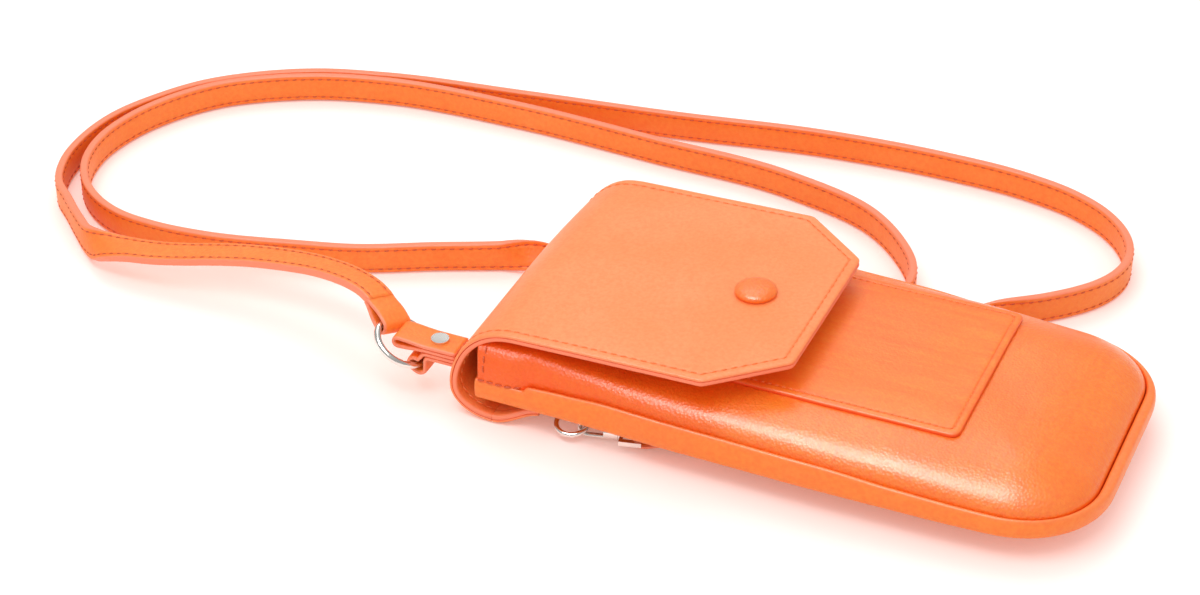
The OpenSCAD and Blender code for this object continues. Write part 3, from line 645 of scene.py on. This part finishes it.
def plane_strip(name, path, origin, axes, half, thin, node_name):
    """Leather strip of the pouch along a plane path; axes are along, up and across."""
    e_long, e_high, e_across = axes
    dense = []
    for a, b in zip(path, path[1:]):
        for k in range(3):
            dense.append((mix(a[0], b[0], k / 3), mix(a[1], b[1], k / 3)))
    dense.append(path[-1])
    frames = []
    for i, (u, v) in enumerate(dense):
        a, b = dense[max(i - 1, 0)], dense[min(i + 1, len(dense) - 1)]
        way = (e_long * (b[0] - a[0]) + e_high * (b[1] - a[1])).normalized()
        frames.append((origin + e_long * u + e_high * v, e_across, way.cross(e_across)))
    shape = Shape()
    sweep(shape, frames, half, thin, groove=False)
    return shape.object(name, leather_strap, "pouch", node_name)


RING_NEAR = 6.7
LAYER_GAP = 0.65
strap_end_a = plane_strip(
    "strap_loop_ring", teardrop(RING_R + 8.0, RING_R + 0.6, RING_NEAR, 2.0, LAYER_GAP), RING_AT,
    (radial, ring_up, ring_across), STRAP_HALF, 0.62, "strap_end_ring")
E_X, E_Y, E_Z = Vector((1, 0, 0)), Vector((0, 1, 0)), Vector((0, 0, 1))
EYE_X, HOOK_YAW = 25.6, math.radians(13)
hook_way = Vector((math.cos(HOOK_YAW), math.sin(HOOK_YAW), 0))
HOOK_AT = Vector((EYE_X, -45, -3.65)) - hook_way * EYE_X
strap_end_b = plane_strip(
    "strap_loop_hook", teardrop(49.6, 42.5, 41.9, 1.93, LAYER_GAP), HOOK_AT,
    (hook_way, E_Z, E_Z.cross(hook_way)), HOOK_HALF, 0.6, "strap_end_hook")

# ---------------------------------------------------------------- flap and fold
FOLD_T = 2.6
FLAP_HALF, TIP_HALF = 47.3, 29.2
FLAP_START, FLAP_CUT, FLAP_END = 2.0, 61.9, 83.35
FLAP_Z, RISE = 24.02, math.radians(1.873)
# The fold's foot is higher from ARCH_FULL on, where the strap passes under it
ARCH_FROM, ARCH_FULL = 18.0, 25.0
FOLD_DROP, ARCH_DROP = 7.3, 4.1
FOLD_START, FOLD_LOW, FOLD_LEFT, FOLD_MID = 10.0, -3.7, -18.0, 4.5


def flap_top(x):
    return FLAP_Z + x * math.tan(RISE)


def fold_drop(y):
    return mix(FOLD_DROP, ARCH_DROP, ease(unit((y - ARCH_FROM) / (ARCH_FULL - ARCH_FROM))))


def under_curve(drop):
    return [(FOLD_START, -FOLD_T), (mix(FOLD_START, FOLD_LOW, 0.25), -FOLD_T),
            (mix(FOLD_LOW, FOLD_START, 0.4), -drop), (FOLD_LOW, -drop)]


def foot_curve(drop):
    return [(FOLD_LOW, -drop), (mix(FOLD_LOW, FOLD_LEFT, 0.58), -drop),
            (FOLD_LEFT, mix(FOLD_MID, -drop, 0.6)), (FOLD_LEFT, FOLD_MID)]


def upper_curve():
    end = (FLAP_START, flap_top(FLAP_START))
    near = mix(FLAP_START, FOLD_LEFT, 0.65)
    return [(FOLD_LEFT, FOLD_MID), (FOLD_LEFT, mix(FOLD_MID, end[1], 0.383)),
            (near, flap_top(near)), end]


# The fold is wider at its near edge and tighter at its far edge by this much
PULL = 2.4


def flare(v, y):
    """How far the fold's near edge is pulled out; v is -2 at its foot."""
    share = unit((-y - 22) / 25)
    return PULL * share * share * along(v, [(-3.2, 0), (-2, 1), (-1.3, 1), (-0.6, 0)])


def on_sheet(u, y, w):
    """Point of the folded leather: u along it, y across, w in from its outer face."""
    if u < -1:
        curve = foot_curve(fold_drop(y))
        p, way = bezier(curve, u + 2), bezier_way(curve, u + 2)
    elif u < 0:
        p, way = bezier(upper_curve(), u + 1), bezier_way(upper_curve(), u + 1)
    else:
        x = FLAP_START + u
        p, way = (x, flap_top(x)), (math.cos(RISE), math.sin(RISE))
    lift = 0.0
    if u > -1:
        middle = 1 - (y / FLAP_HALF) ** 2
        lift = 0.35 * middle * along(u, [(-0.6, 0), (20, 1), (60, 0.8), (82, 0)])
        lift += ripple(p[0], y, 26, 0.16) * along(u, [(-1, 0), (4, 1)])
    tight = along(u, [(-1.9, 0), (-1.2, 1), (-0.5, 1), (0.5, 0)])
    tight *= PULL * max(y / FLAP_HALF, 0.0) ** 2
    return (p[0] + w * way[1] - lift * way[1] + tight, y - flare(u, y),
            p[1] - w * way[0] + lift * way[0])


FOLD_STATIONS = ([-2, -2 + 0.004, -2 + 0.02] + [-2 + i / 12 for i in range(1, 12)]
                 + [-1 + i / 14 for i in range(14)])
FLAP_STATIONS = [0.0, 2, 5, 9, 13, 17, 21, 25, 29, 33, 37, 41, 45, 49, 52.5]
FLAP_LAST = FLAP_STATIONS[-1]
COLUMNS = 26
CORNER_R = 3.2


def flap_rim(d):
    """Near and tip parts of the flap's outline at an inset, in (u, y)."""
    run, fall = FLAP_END - FLAP_CUT, FLAP_HALF - TIP_HALF
    size = math.hypot(run, fall)
    vx, vy = run / size, fall / size
    ax = FLAP_CUT - FLAP_START - d * (1 - vx) / vy
    ay = FLAP_HALF - d
    bx = FLAP_END - FLAP_START - d
    by = ay - (bx - ax) * vy / vx
    r = max(CORNER_R - d, 0.9)
    a_arc = fillet((0, ay), (ax, ay), (bx, by), r, 4)
    b_arc = fillet((ax, ay), (bx, by), (bx, 0), r, 4)
    side = [(u, ay) for u in FOLD_STATIONS + FLAP_STATIONS]
    side += [(mix(FLAP_LAST, a_arc[0][0], t), ay) for t in (0.4, 0.8)]
    side += a_arc
    side += [(mix(a_arc[-1][0], b_arc[0][0], k / 6), mix(a_arc[-1][1], b_arc[0][1], k / 6))
             for k in range(1, 6)]
    side += b_arc
    return side


def u_sheet(rim, levels, place, columns):
    """Closed sheet with one straight end. levels run from the top's middle outwards, round
    the edge and back under it: (inset, depth, and shade and edge where they aren't 0)."""
    shape = Shape()
    rings, sides = [], []
    for d, w, *paint in levels:
        side = rim(d)
        end_x, end_y = side[-1]
        tip = [(end_x, mix(-end_y, end_y, j / columns)) for j in range(1, columns)]
        contour = [(x, -y) for x, y in side] + tip + list(reversed(side))
        sides.append(side)
        rings.append(shape.line([place(x, y, w) for x, y in contour], *paint))
    for a, b in zip(rings, rings[1:]):
        shape.strip(a, b)
    count = len(sides[0])
    starts = []
    for k in (0, -1):
        ring, (_, w, *paint) = rings[k], levels[k]
        rows = []
        for i, (x, y) in enumerate(sides[k]):
            if i == count - 1:
                middle = ring[count:count + columns - 1]
            else:
                middle = shape.line([place(x, mix(-y, y, j / columns), w)
                                     for j in range(1, columns)], *paint)
            rows.append([ring[i]] + middle + [ring[-1 - i]])
        for a, b in zip(rows, rows[1:]):
            shape.strip(a, b)
        starts.append(rows[0])
    shape.strip(*starts)
    shape.faces.append(tuple(ring[0] for ring in rings))
    shape.faces.append(tuple(ring[-1] for ring in rings))
    return shape


SEAM_IN = 3.0
top_levels = [(7.0, 0.0), (4.6, 0.0), (3.6, -0.02), (3.22, 0.06, 0.1), (SEAM_IN, 0.2, 0.4),
              (2.78, 0.06, 0.1), (2.4, -0.06), (1.4, -0.1), (0.6, -0.02), (0.2, 0.12, 0, 0.1),
              (0.03, 0.34, 0, 0.25), (0.0, 0.6, 0, 0.3), (0.06, 0.82, 0.1, 0.3),
              (0.28, 0.94, 0.85, 0.3), (1.2, 0.95, 0.8), (7.0, 0.95)]
under_levels = [(7.0, 0.96), (1.2, 0.96, 0.8), (0.28, 0.97, 0.85, 1), (0.08, 1.12, 0.1, 1),
                (0.03, 1.5, 0, 1), (0.04, 2.0, 0, 1), (0.22, 2.42, 0, 0.7), (0.7, 2.6, 0, 0.1),
                (2.4, 2.62), (2.78, 2.54, 0.1), (SEAM_IN, 2.44, 0.4), (3.22, 2.54, 0.1),
                (3.6, 2.6), (7.0, 2.6)]
flap_outer = u_sheet(flap_rim, top_levels, on_sheet, COLUMNS).object(
    "flap_outer_leather", leather_flap, None, "flap_leather", "flap_fold", "fold_side", subdiv=1)
flap_inner = u_sheet(flap_rim, under_levels, on_sheet, COLUMNS).object(
    "flap_inner_leather", leather_inner, None, "flap_lining", subdiv=1, slot="inner_leather")

flap_threads = Shape()
for face, w in ((1, 0.1), (-1, 2.52)):
    path = []
    for x, y in both_sides(flap_rim(SEAM_IN)):
        at, deeper = Vector(on_sheet(x, y, w)), Vector(on_sheet(x, y, w + 0.5))
        path.append((at, (at - deeper) * face))
    stitch_mesh(flap_threads, path, *FLAP_SEAM)
flap_stitching = flap_threads.object("flap_stitching", thread, None)
for piece in (flap_outer, flap_inner, flap_stitching):
    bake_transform(piece)


# The flange is short on the near side, where the D-ring's strip is
FLANGE_END, FLANGE_NEAR_END, FLANGE_Y = 28.0, 10.5, -20.0


def on_flange(u, y, w):
    """Lower leather of the fold: u 0 at its sewn end, 1 at the back panel, 2 at the foot."""
    if u < 1:
        end = mix(FLANGE_NEAR_END, FLANGE_END, unit((y - FLANGE_Y) / 2.0))
        return (mix(end, FOLD_START, u), y, -FOLD_T + w)
    curve = under_curve(fold_drop(y))
    p, way = bezier(curve, u - 1), bezier_way(curve, u - 1)
    return (p[0] + w * way[1], y - flare(u - 4, y), p[1] - w * way[0])


def on_flange_back(x, y, w):
    return on_flange(2 - x / 10, y, w)


def flange_rim(d):
    side = [(k, FLAP_HALF - d) for k in [0, 0.04, 0.2] + list(range(1, 19))]
    r = max(1.5 - d * 0.1, 0.5)
    end = 20 - d * 0.28
    side += [(mix(18, end, t), FLAP_HALF - d) for t in (0.4, 0.7, 0.9)]
    side += [(end - 0.02, FLAP_HALF - d - 0.2 * r), (end, FLAP_HALF - d - r)]
    return side


u_sheet(flange_rim, top_levels[:-2] + under_levels[2:], on_flange_back, 40).object(
    "fold_lower_leather", leather_flap, "pouch", "fold_back", subdiv=1)

# ---------------------------------------------------------------- panels
MOUTH, BODY_END = -9.0, 178.5
BODY_HALF, BODY_CORNER = 50.5, 28.9
SIDE_X = [-9.0, -8.7, -8.0, -7.0, -6.0, -4.5, -2.5, -0.5, 1.5, 3.5, 5.5, 6.6, 7.0, 7.4, 8.2, 10,
          13, 16.5, 20] + [24 + 4 * i for i in range(25)]
CORNER_STEPS = 14
END_STEPS = 10
RIM_IN = 2.2
END_IN_GROOVE, CORNER_SQUARER = 1.5, 2.7


def panel_line(half, end, corner):
    """Outline from the mouth's near end round the closed end to its far end."""
    start = end - corner
    near = [(x, -half) for x in SIDE_X]
    last = SIDE_X[-1]
    near += [(mix(last, start, k / 4), -half) for k in (1, 2, 3)]
    for k in range(CORNER_STEPS + 1):
        a = -math.pi / 2 + math.pi / 2 * k / CORNER_STEPS
        near.append((start + corner * math.cos(a), corner - half + corner * math.sin(a)))
    flat = [(end, mix(corner - half, half - corner, k / END_STEPS)) for k in range(1, END_STEPS)]
    return near + flat + [(x, -y) for x, y in reversed(near)]


NEAR_BULGE = [(15, 0), (60, 1.1), (95, 1.5), (130, 1.1), (160, 0)]
FAR_PULL = [(40, 0), (80, 2.0), (125, 2.4), (155, 3.4), (178, 2.6)]


def pressed(x, y):
    """Soft body: its near side bulges a little and its far side is pushed in."""
    share = ease(unit((abs(y) - 12) / 34))
    return (x, y - share * along(x, NEAR_BULGE if y < 0 else FAR_PULL))


def body_line(d):
    """Outline of the body at an inset; the groove is squarer and set in at the closed end."""
    half = BODY_HALF - d
    corner = max(BODY_CORNER - d, 7.0) if d < 38 else max(7.0 - (d - 38) * 0.55, 0.2)
    inner = unit((d - 0.9) / 0.45)
    end = BODY_END - d - END_IN_GROOVE * inner
    corner = mix(corner, max(corner - CORNER_SQUARER, min(corner, 7.0)), inner)
    return [pressed(x, y) for x, y in panel_line(half, end, min(corner, half * 0.92))]


MOUTH_RIM, END_RIM = 10.2, 6.8
RIM_DIP = [(-9, -2.5), (6.8, -2.4), (8, -0.7), (20, 0), (33, 1.0), (85, 1.2), (100, 1.3),
           (122, 0.4), (150, 0)]


def rim_top(x):
    return mix(MOUTH_RIM, END_RIM, (x - MOUTH) / (BODY_END - MOUTH)) + along(x, RIM_DIP)


def rim_point(x, y, d, high):
    """Point at a height from the rim's top, which is lower at the mouth's ends."""
    if x < 7.2 and d > 1.1:
        high = -0.4
    return (x, y, rim_top(x) + high)


def flat_point(x, y, d, high):
    return (x, y, high)


# Inset, height, and shade and edge where they aren't 0, from the outer face over the rim
back_outer = [(49.9, 0.1), (40, 0.1), (30, 0.08), (20, 0.05), (12, 0.0), (6, 0.0), (4.1, 0.0),
              (3.75, 0.06, 0.2), (3.5, 0.2, 0.7), (3.25, 0.06, 0.2), (2.9, 0.02), (1.8, 0.2),
              (0.95, 0.6), (0.35, 1.3), (0.04, 2.3), (-0.1, 3.6)]
back_rim = [(-0.08, -2.6), (0.0, -1.5), (0.14, -0.8, 0, 0.1), (0.45, -0.28, 0, 0.2),
            (0.95, -0.02, 0, 0.2), (1.4, -0.12, 0, 0.1), (1.78, -0.5, 0.3), (1.98, -1.2, 0.9),
            (2.02, -2.2, 1)]
back_inner = [(2.05, 2.3, 1), (4.0, 2.0), (12, 2.0), (20, 2.0), (30, 2.0), (40, 2.0), (49.9, 2.0)]
back = Shape()
rings = []
for levels, place in ((back_outer, flat_point), (back_rim, rim_point), (back_inner, flat_point)):
    for d, high, *paint in levels:
        rings.append(back.line([place(x, y, d, high) for x, y in body_line(d)], *paint))
for a, b in zip(rings, rings[1:]):
    back.strip(a, b)
back.close(rings[0])
back.close(rings[-1])
back.faces.append(tuple(r[0] for r in rings) + tuple(r[-1] for r in reversed(rings)))
back.object("back_panel_leather", leather_back, "pouch", "back_shell", subdiv=1)

FRONT_TOP = [(-9, 18.9), (4, 18.4), (22, 16.9), (42, 15.85), (62, 15.75), (92, 15.95),
             (120, 16.3), (146, 16.7), (160, 16.5), (177, 15.6)]
SHOULDER = [(-9, 4.5), (8, 5.5), (30, 9), (60, 15), (80, 16.5), (122, 20), (144, 24), (178, 25)]
SHOULDER_POWER = [(60, 2.45), (110, 2.1), (168, 1.8)]
GROOVE_Z = 6.0
# Depth of the dents where the flap presses on the panel's sides
DENT = 0.7
GROOVE_DROP = [(0, 1.4), (140, 1.3), (165, 0.75)]


def front_height(x, y, d):
    """Height of the front panel at an inset from the groove's outline."""
    top = along(x, FRONT_TOP)
    wide = along(x, SHOULDER)
    low = min(GROOVE_Z, rim_top(x) - along(x, GROOVE_DROP))
    q = unit(d / wide)
    power = along(x, SHOULDER_POWER)
    z = low + (top - low) * (1 - (1 - q) ** power) ** (1 / power)
    z -= DENT * math.exp(-((x - 30) / 16) ** 2) * math.exp(-((abs(y) - 38) / 8) ** 2)
    if d > 3:
        fade = along(x, [(90, 0.4), (140, 1)])
        z += ripple(x, y, 17, 0.3, 3.1) * fade * min((d - 3) / 6, 1)
        z += ripple(x, y, 7, 0.07, 9.2) * fade * min((d - 3) / 6, 1)
    return z


front_insets = [0.0, 0.1, 0.35, 0.8, 1.5, 2.5, 3.8, 5.4, 7.4, 9.8, 12.6, 15.8, 19.5, 23.8, 29,
                35, 41, 47.6]
WALL = 1.8
LAST_INSET = 47.7
FOOT_Z = 2.3


def inward(d):
    """Share of the wall's thickness that runs inwards and downwards at an inset."""
    q = min(d / 15.0, 1.0)
    steep = (1 - q) ** 2.2
    return steep, math.sqrt(max(1 - steep * steep, 0.0))


FOOT_OUT = 1.9


def foot_out(x):
    """How far the panel's foot goes out over the rim at the mouth."""
    return FOOT_OUT * along(x, [(1.0, 1), (8.5, 0)])


def front_line(d):
    """Outline of the front panel at an inset from the groove; flush with the rim at the mouth."""
    out = []
    for x, y in body_line(d + RIM_IN):
        step = foot_out(x) * math.exp(-(d / 3.2) ** 2)
        round_end = 1.4 * max(1 - (x - MOUTH) / 2.2, 0.0) ** 2 * math.exp(-(d / 1.6) ** 2)
        out.append((x + round_end, y + math.copysign(step, y)))
    return out


def painted_shade_under_flap(x, d):
    """How much painted shade makes the panel redder under the flap, where the flap keeps the light
    off it.
    """
    return 0.6 * along(x, [(18, 1), (58, 0.45), (76, 0)]) * math.exp(-(d / 9.0) ** 2)


front = Shape()
outer, inner = [], []
for d in front_insets:
    points = [(x, y, front_height(x, y, d)) for x, y in front_line(d)]
    outer.append(front.line(points))
    for i, (x, y, z) in zip(outer[-1], points):
        # Painted shade: deeper red under the flap, and along the panel's foot in the groove
        front.shade[i] = max(painted_shade_under_flap(x, d), 0.55 if d < 0.05 else 0.0)
for d in front_insets:
    steep, down = inward(d)
    inset = min(d + WALL * steep, LAST_INSET)
    inner.append(front.line([(x, y, max(front_height(x0, y0, d) - WALL * down, 2.6))
                             for (x, y), (x0, y0) in zip(body_line(inset + RIM_IN),
                                                         front_line(d))]))
foot = front.line([(x, y, FOOT_Z) for x, y in front_line(0)], 1.0)
foot_in = front.line([(x, y, FOOT_Z) for x, y in body_line(RIM_IN + WALL)])
for chain in (outer, inner):
    for a, b in zip(chain, chain[1:]):
        front.strip(a, b)
    front.close(chain[-1])
front.strip(foot, outer[0])
front.strip(foot_in, inner[0])
front.strip(foot, foot_in)
# The lip at the mouth, rounded by a line of points between the outer and inner faces
lip = []
for a, b in zip([foot] + outer, [foot_in] + inner):
    pair = []
    for k in (0, -1):
        p, q = Vector(front.points[a[k]]), Vector(front.points[b[k]])
        pair.append(front.line([tuple((p + q) / 2 + Vector((-0.55, 0, 0)))], 0.0, 0.9)[0])
    lip.append((a[0], pair[0], b[0], a[-1], pair[1], b[-1]))
for a, b in zip(lip, lip[1:]):
    for k in (0, 1, 3, 4):
        front.faces.append((a[k], b[k], b[k + 1], a[k + 1]))
a = lip[-1]
front.faces.append((a[0], a[3], a[4], a[1]))
front.faces.append((a[1], a[4], a[5], a[2]))
front.object("front_panel_leather", leather_panel, "pouch", "front_shell", subdiv=1)

# Seams along the mouth, round the back and at the mouth's ends
panel_threads = Shape()
k = SIDE_X.index(MOUTH + 3.0)
line = [Vector(front.points[ring[k]]) for ring in outer[1:]]
line += [Vector(front.points[ring[-1 - k]]) for ring in reversed(outer[1:])]
path = []
for i, p in enumerate(line):
    way = line[min(i + 1, len(line) - 1)] - line[max(i - 1, 0)]
    up = Vector((1, 0, 0)).cross(way).normalized()
    path.append((p + up * 0.1, up))
stitch_mesh(panel_threads, path, *PANEL_SEAM)
path = [((x, y, 0.1), (0, 0, -1)) for x, y in body_line(3.5)]
stitch_mesh(panel_threads, path, *BACK_SEAM)
for side in (-1, 1):
    path = [((x, side * (BODY_HALF - RIM_IN + foot_out(x) + 0.1), rim_top(x) + 0.2),
             (0, side, 0.35)) for x in (-8.2, -4, 0, 1, 3, 6.2)]
    stitch_mesh(panel_threads, path, *MOUTH_SEAM)
panel_threads.object("panel_stitching", strap_thread, "pouch")

# Card pocket, sewn on three sides, open towards the mouth
POCKET_START, POCKET_END, POCKET_HALF, POCKET_CORNER = 38.0, 134.3, 31.8, 3.2
POCKET_FAR, POCKET_SEAM = 34.8, 2.3


def pocket_rim(d):
    end, half = POCKET_END - d, POCKET_HALF - d
    r = max(POCKET_CORNER - d * 0.6, 1.0)
    arc = fillet((POCKET_START, half), (end, half), (end, 0), r, 5)
    return [(mix(POCKET_START, arc[0][0], k / 24), half) for k in range(24)] + arc


def on_pocket(x, y, w):
    """Point at a height over the panel; the far side reaches further than the near one."""
    y = mix(-POCKET_HALF, POCKET_FAR, (y + POCKET_HALF) / (2 * POCKET_HALF))
    base = along(x, FRONT_TOP) + ripple(x, y, 14, 0.12, 5.0)
    droop = 0.5 * max(abs(y) - 24, 0) / 8
    return (x, y, base - droop * along(x, [(60, 0), (110, 1)]) + w)


pocket_levels = [(9.0, 1.6), (4.2, 1.6), (2.9, 1.58), (2.52, 1.5, 0.2), (POCKET_SEAM, 1.36, 0.6),
                 (2.08, 1.5, 0.2), (1.7, 1.57), (0.9, 1.56), (0.35, 1.45, 0.1, 0.1),
                 (0.08, 1.2, 0.5, 0.2), (0.0, 0.8, 0.9), (0.0, 0.3, 1), (0.25, -0.1, 1),
                 (2.9, -0.1), (3.3, 0.8), (9.0, 0.8)]
u_sheet(pocket_rim, pocket_levels, on_pocket, 18).object(
    "card_pocket_leather", leather_pocket, "pouch", "card_pocket", subdiv=1)
pocket_threads = Shape()
path = [(on_pocket(x, y, 1.46), (0, 0, 1)) for x, y in both_sides(pocket_rim(POCKET_SEAM))]
stitch_mesh(pocket_threads, path, *CARD_SEAM)
pocket_threads.object("pocket_stitching", thread, "pouch")

# Cloth linings inside the two panels
lining = Shape()
rings = []
for d, z in ((4.4, 2.05), (4.4, 2.55), (5.2, 2.66), (12, 2.66), (24, 2.62), (36, 2.6), (49.9, 2.6),
             (36, 2.05), (24, 2.05), (12, 2.05), (5.2, 2.05)):
    rings.append(lining.line([(x, y, z) for x, y in body_line(d)]))
for a, b in zip(rings, rings[1:] + rings[:1]):
    lining.strip(a, b)
lining.object("lining_back_cloth", cloth, "pouch", "back_lining", slot="lining", fill=True)

lining = Shape()
rings = []
for depth in (WALL + 0.08, WALL + 0.62):
    chain = []
    for d in front_insets[3:]:
        steep, down = inward(d)
        inset = min(d + depth * steep, LAST_INSET)
        chain.append([(x, y, max(front_height(x0, y0, d) - depth * down, 2.9))
                      for (x, y), (x0, y0) in zip(body_line(inset + RIM_IN),
                                                  body_line(d + RIM_IN))])
    rings.append([lining.line(c) for c in chain])
for chain in rings:
    for a, b in zip(chain, chain[1:]):
        lining.strip(a, b)
    lining.close(chain[-1])
lining.strip(rings[0][0], rings[1][0])
for a, b, c, d in zip(rings[0], rings[0][1:], rings[1], rings[1][1:]):
    lining.faces.append((a[0], b[0], d[0], c[0]))
    lining.faces.append((a[-1], b[-1], d[-1], c[-1]))
a, b = rings[0][-1], rings[1][-1]
lining.faces.append((a[0], a[-1], b[-1], b[0]))
lining.object("lining_front_cloth", cloth, "pouch", "front_lining", slot="lining")


# ---------------------------------------------------------------- button, tabs
SNAP_X = 60.6
flap_up = (-math.sin(RISE), 0, math.cos(RISE))
cap_at = Vector((SNAP_X, 0, flap_top(SNAP_X))) + Vector(flap_up) * 0.3
# Radius and height of the cap's rings
cap_profile = [(5.2, -0.35), (5.7, -0.2), (6.15, 0.15), (6.42, 0.6), (6.45, 1.0), (6.3, 1.45),
               (5.8, 1.95), (4.9, 2.35), (3.8, 2.6), (2.5, 2.75), (1.2, 2.82), (0.3, 2.84)]
cap_shades = [0.9, 0.6, 0.2] + [0] * 9
cap = Shape()
axis = Vector(flap_up).normalized()
e1 = axis.orthogonal().normalized()
e2 = axis.cross(e1)
cap.tube([cap.line(circle(cap_at + axis * h, e1 * r, e2 * r, 48), shade)
          for (r, h), shade in zip(cap_profile, cap_shades)])
cap.object("button_cap_leather", leather_panel, "flap", "button_cap", subdiv=1)

TAB_Y, TAB_HALF, LAYER, TAB_THIN = -40.0, 4.75, 1.3, 0.64
RING_RIGHT = (RING_AT.x + RING_R * math.cos(RING_TILT), RING_AT.z - RING_R * math.sin(RING_TILT))
LOOP_FAR = 1.7
loop_in = (RING_RIGHT[0] - math.cos(RING_TILT) * LOOP_FAR,
           RING_RIGHT[1] + math.sin(RING_TILT) * LOOP_FAR)
mid_r = 1.4 + LAYER / 2


def arc(centre, radius, start, end, steps):
    """Points on an arc from a start to an end angle in degrees."""
    return [(centre[0] + radius * math.cos(a), centre[1] + radius * math.sin(a))
            for a in (math.radians(mix(start, end, k / steps)) for k in range(steps + 1))]


path = [(-17.9, 5.85), (-21, 5.85), (-25, 5.85), (-27.4, 5.8), (-28.1, 5.0)]
path += arc(RING_RIGHT, mid_r, -20, -121, 5) + arc(loop_in, mid_r, -121, -301, 10)
path += [(-29.6, 5.6), (-28.9, 6.75), (-27.4, 7.15), (-25, 7.15), (-21, 7.15), (-17.9, 7.15)]
TAB_AT = Vector((0, TAB_Y, 0))
plane_strip("ring_tab_loop_leather", path, TAB_AT, (E_X, E_Z, E_Y), TAB_HALF, TAB_THIN,
            "ring_tab_loop")
COVER = (-37.1, 9.1)
path = [(-17.9, 8.45), (-21, 8.45), (-25, 8.45), (-27.85, 8.45), (-31, 8.2), (-34, 7.85)]
path += arc(COVER, 1.45, 270, 90, 12)
path += [(-34, 10.35), (-31, 10.0), (-27.85, 9.75), (-25, 9.75), (-21, 9.75), (-17.9, 9.75)]
plane_strip("ring_tab_cover_leather", path, TAB_AT, (E_X, E_Z, E_Y), TAB_HALF, TAB_THIN,
            "ring_tab_cover")

DEE_X, DEE_Y, DEE_Z = 20.5, -39.5, -2.35
path = [(-21.5, -0.65), (-27.5, -0.65), (-32.5, -0.65), (-37, -0.6)]
path += arc((DEE_Y, DEE_Z), 1.7, 80, 280, 12)
path += [(-36.7, -3.4), (-34.7, -2.3), (-32, -1.95), (-27.5, -1.95), (-21.5, -1.95)]
plane_strip("back_tab_leather", path, Vector((DEE_X, 0, 0)), (E_Y, E_Z, E_X), 3.75, TAB_THIN,
            "back_tab")

# Metal parts keep their solids, with rounded edges
ROUNDING, SHARP = 0.00018, math.radians(40)
METAL = ["button_post", "snap_socket", "snap_stud", "snap_eyelet", "tab_rivet", "ring",
         "back_tab_rivet", "d_ring", "hook_body", "hook_gate", "gate_pin", "hook_swivel"]
for name in METAL:
    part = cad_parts[name]
    coat_with(part, nickel)
    part.data.polygons.foreach_set("use_smooth", [True] * len(part.data.polygons))
    rounding = part.modifiers.new("rounding", "BEVEL")
    rounding.width = ROUNDING
    rounding.segments = 2
    rounding.limit_method = "ANGLE"
    rounding.angle_limit = SHARP
    rounding.harden_normals = True

# ---------------------------------------------------------------- floor and light
FLOOR_SIZE, FLOOR_Z = 8, -0.0004
# The floor's own light, seen by camera, gloss and glass: a painted warm bounce light round the
# pouch, which tints its shadow pink, then an even white
PAINTED_BOUNCE_LIGHT, PLAIN, PAINTED_BOUNCE_TO, PLAIN_FROM = (0.33, 0.155, 0.12), (0.25, 0.25, 0.25), 0.32, 0.6


def floor_material():
    mat = bpy.data.materials.new("floor")
    tree, out = empty_tree(mat, "ShaderNodeOutputMaterial")
    at = object_space(tree)
    tone = blend_colour(tree, noise_tex(tree, at, 3), (0.90, 0.89, 0.885), (0.91, 0.90, 0.895))
    matt = node(tree, "ShaderNodeBsdfDiffuse", {"Color": tone})
    rays = node(tree, "ShaderNodeLightPath").outputs
    seen = maths(tree, "MAXIMUM", rays["Is Camera Ray"],
                 maths(tree, "MAXIMUM", rays["Is Glossy Ray"], rays["Is Transmission Ray"]))
    far = node(tree, "ShaderNodeVectorMath", {0: at}, operation="LENGTH").outputs["Value"]
    # Painted warm bounce light near the pouch, plain white further out
    glow = blend_colour(tree, span(tree, far, PAINTED_BOUNCE_TO, PLAIN_FROM), PAINTED_BOUNCE_LIGHT, PLAIN)
    lift = node(tree, "ShaderNodeEmission", {"Color": glow, "Strength": seen})
    both = node(tree, "ShaderNodeAddShader", {0: matt.outputs[0], 1: lift.outputs[0]})
    tree.links.new(both.outputs[0], out.inputs[0])
    return mat


bpy.ops.mesh.primitive_grid_add(x_subdivisions=4, y_subdivisions=4, size=FLOOR_SIZE,
                                location=(0, 0, FLOOR_Z))
floor = bpy.context.active_object
floor.name = "floor"
floor.data.materials.append(floor_material())

# The world lights at SKY, renders white for the camera and is dimmer in reflections
SKY, TO_WHITE, DIMMER = 0.83, 0.17, 0.4
world = bpy.data.worlds.new("world")
bpy.context.scene.world = world
tree, out = empty_tree(world, "ShaderNodeOutputWorld")
rays = node(tree, "ShaderNodeLightPath").outputs
level = maths(tree, "ADD", maths(tree, "MULTIPLY", rays["Is Camera Ray"], TO_WHITE), SKY)
level = maths(tree, "SUBTRACT", level, maths(tree, "MULTIPLY", rays["Is Glossy Ray"], DIMMER))
sky = node(tree, "ShaderNodeBackground", {"Color": (1, 1, 1), "Strength": level})
tree.links.new(sky.outputs[0], out.inputs[0])


def lamp(name, at, target, size, level):
    """Flat lamp that adds about level to a white surface that faces it."""
    data = bpy.data.lights.new(name, "AREA")
    data.shape = "RECTANGLE"
    data.size, data.size_y = size
    at, target = Vector(at), Vector(target)
    data.energy = level * math.pi ** 2 * (at - target).length_squared
    obj = bpy.data.objects.new(name, data)
    obj.location = at
    obj.rotation_euler = (target - at).to_track_quat("-Z", "Y").to_euler()
    bpy.context.scene.collection.objects.link(obj)
    return obj


MIDDLE = (0.02, 0.0, 0.01)
lamp("key", (-0.7, 1.1, 1.9), MIDDLE, (1.3, 1.3), 0.22)
lamp("top", (-0.13, -0.40, 0.95), MIDDLE, (0.8, 0.3), 0.26)
# Only the leather's gloss shows this one
lamp("sheen", (-0.13, -0.31, 1.0), MIDDLE, (0.6, 0.46), 0.95).visible_diffuse = False
bpy.context.scene.view_settings.view_transform = "Standard"
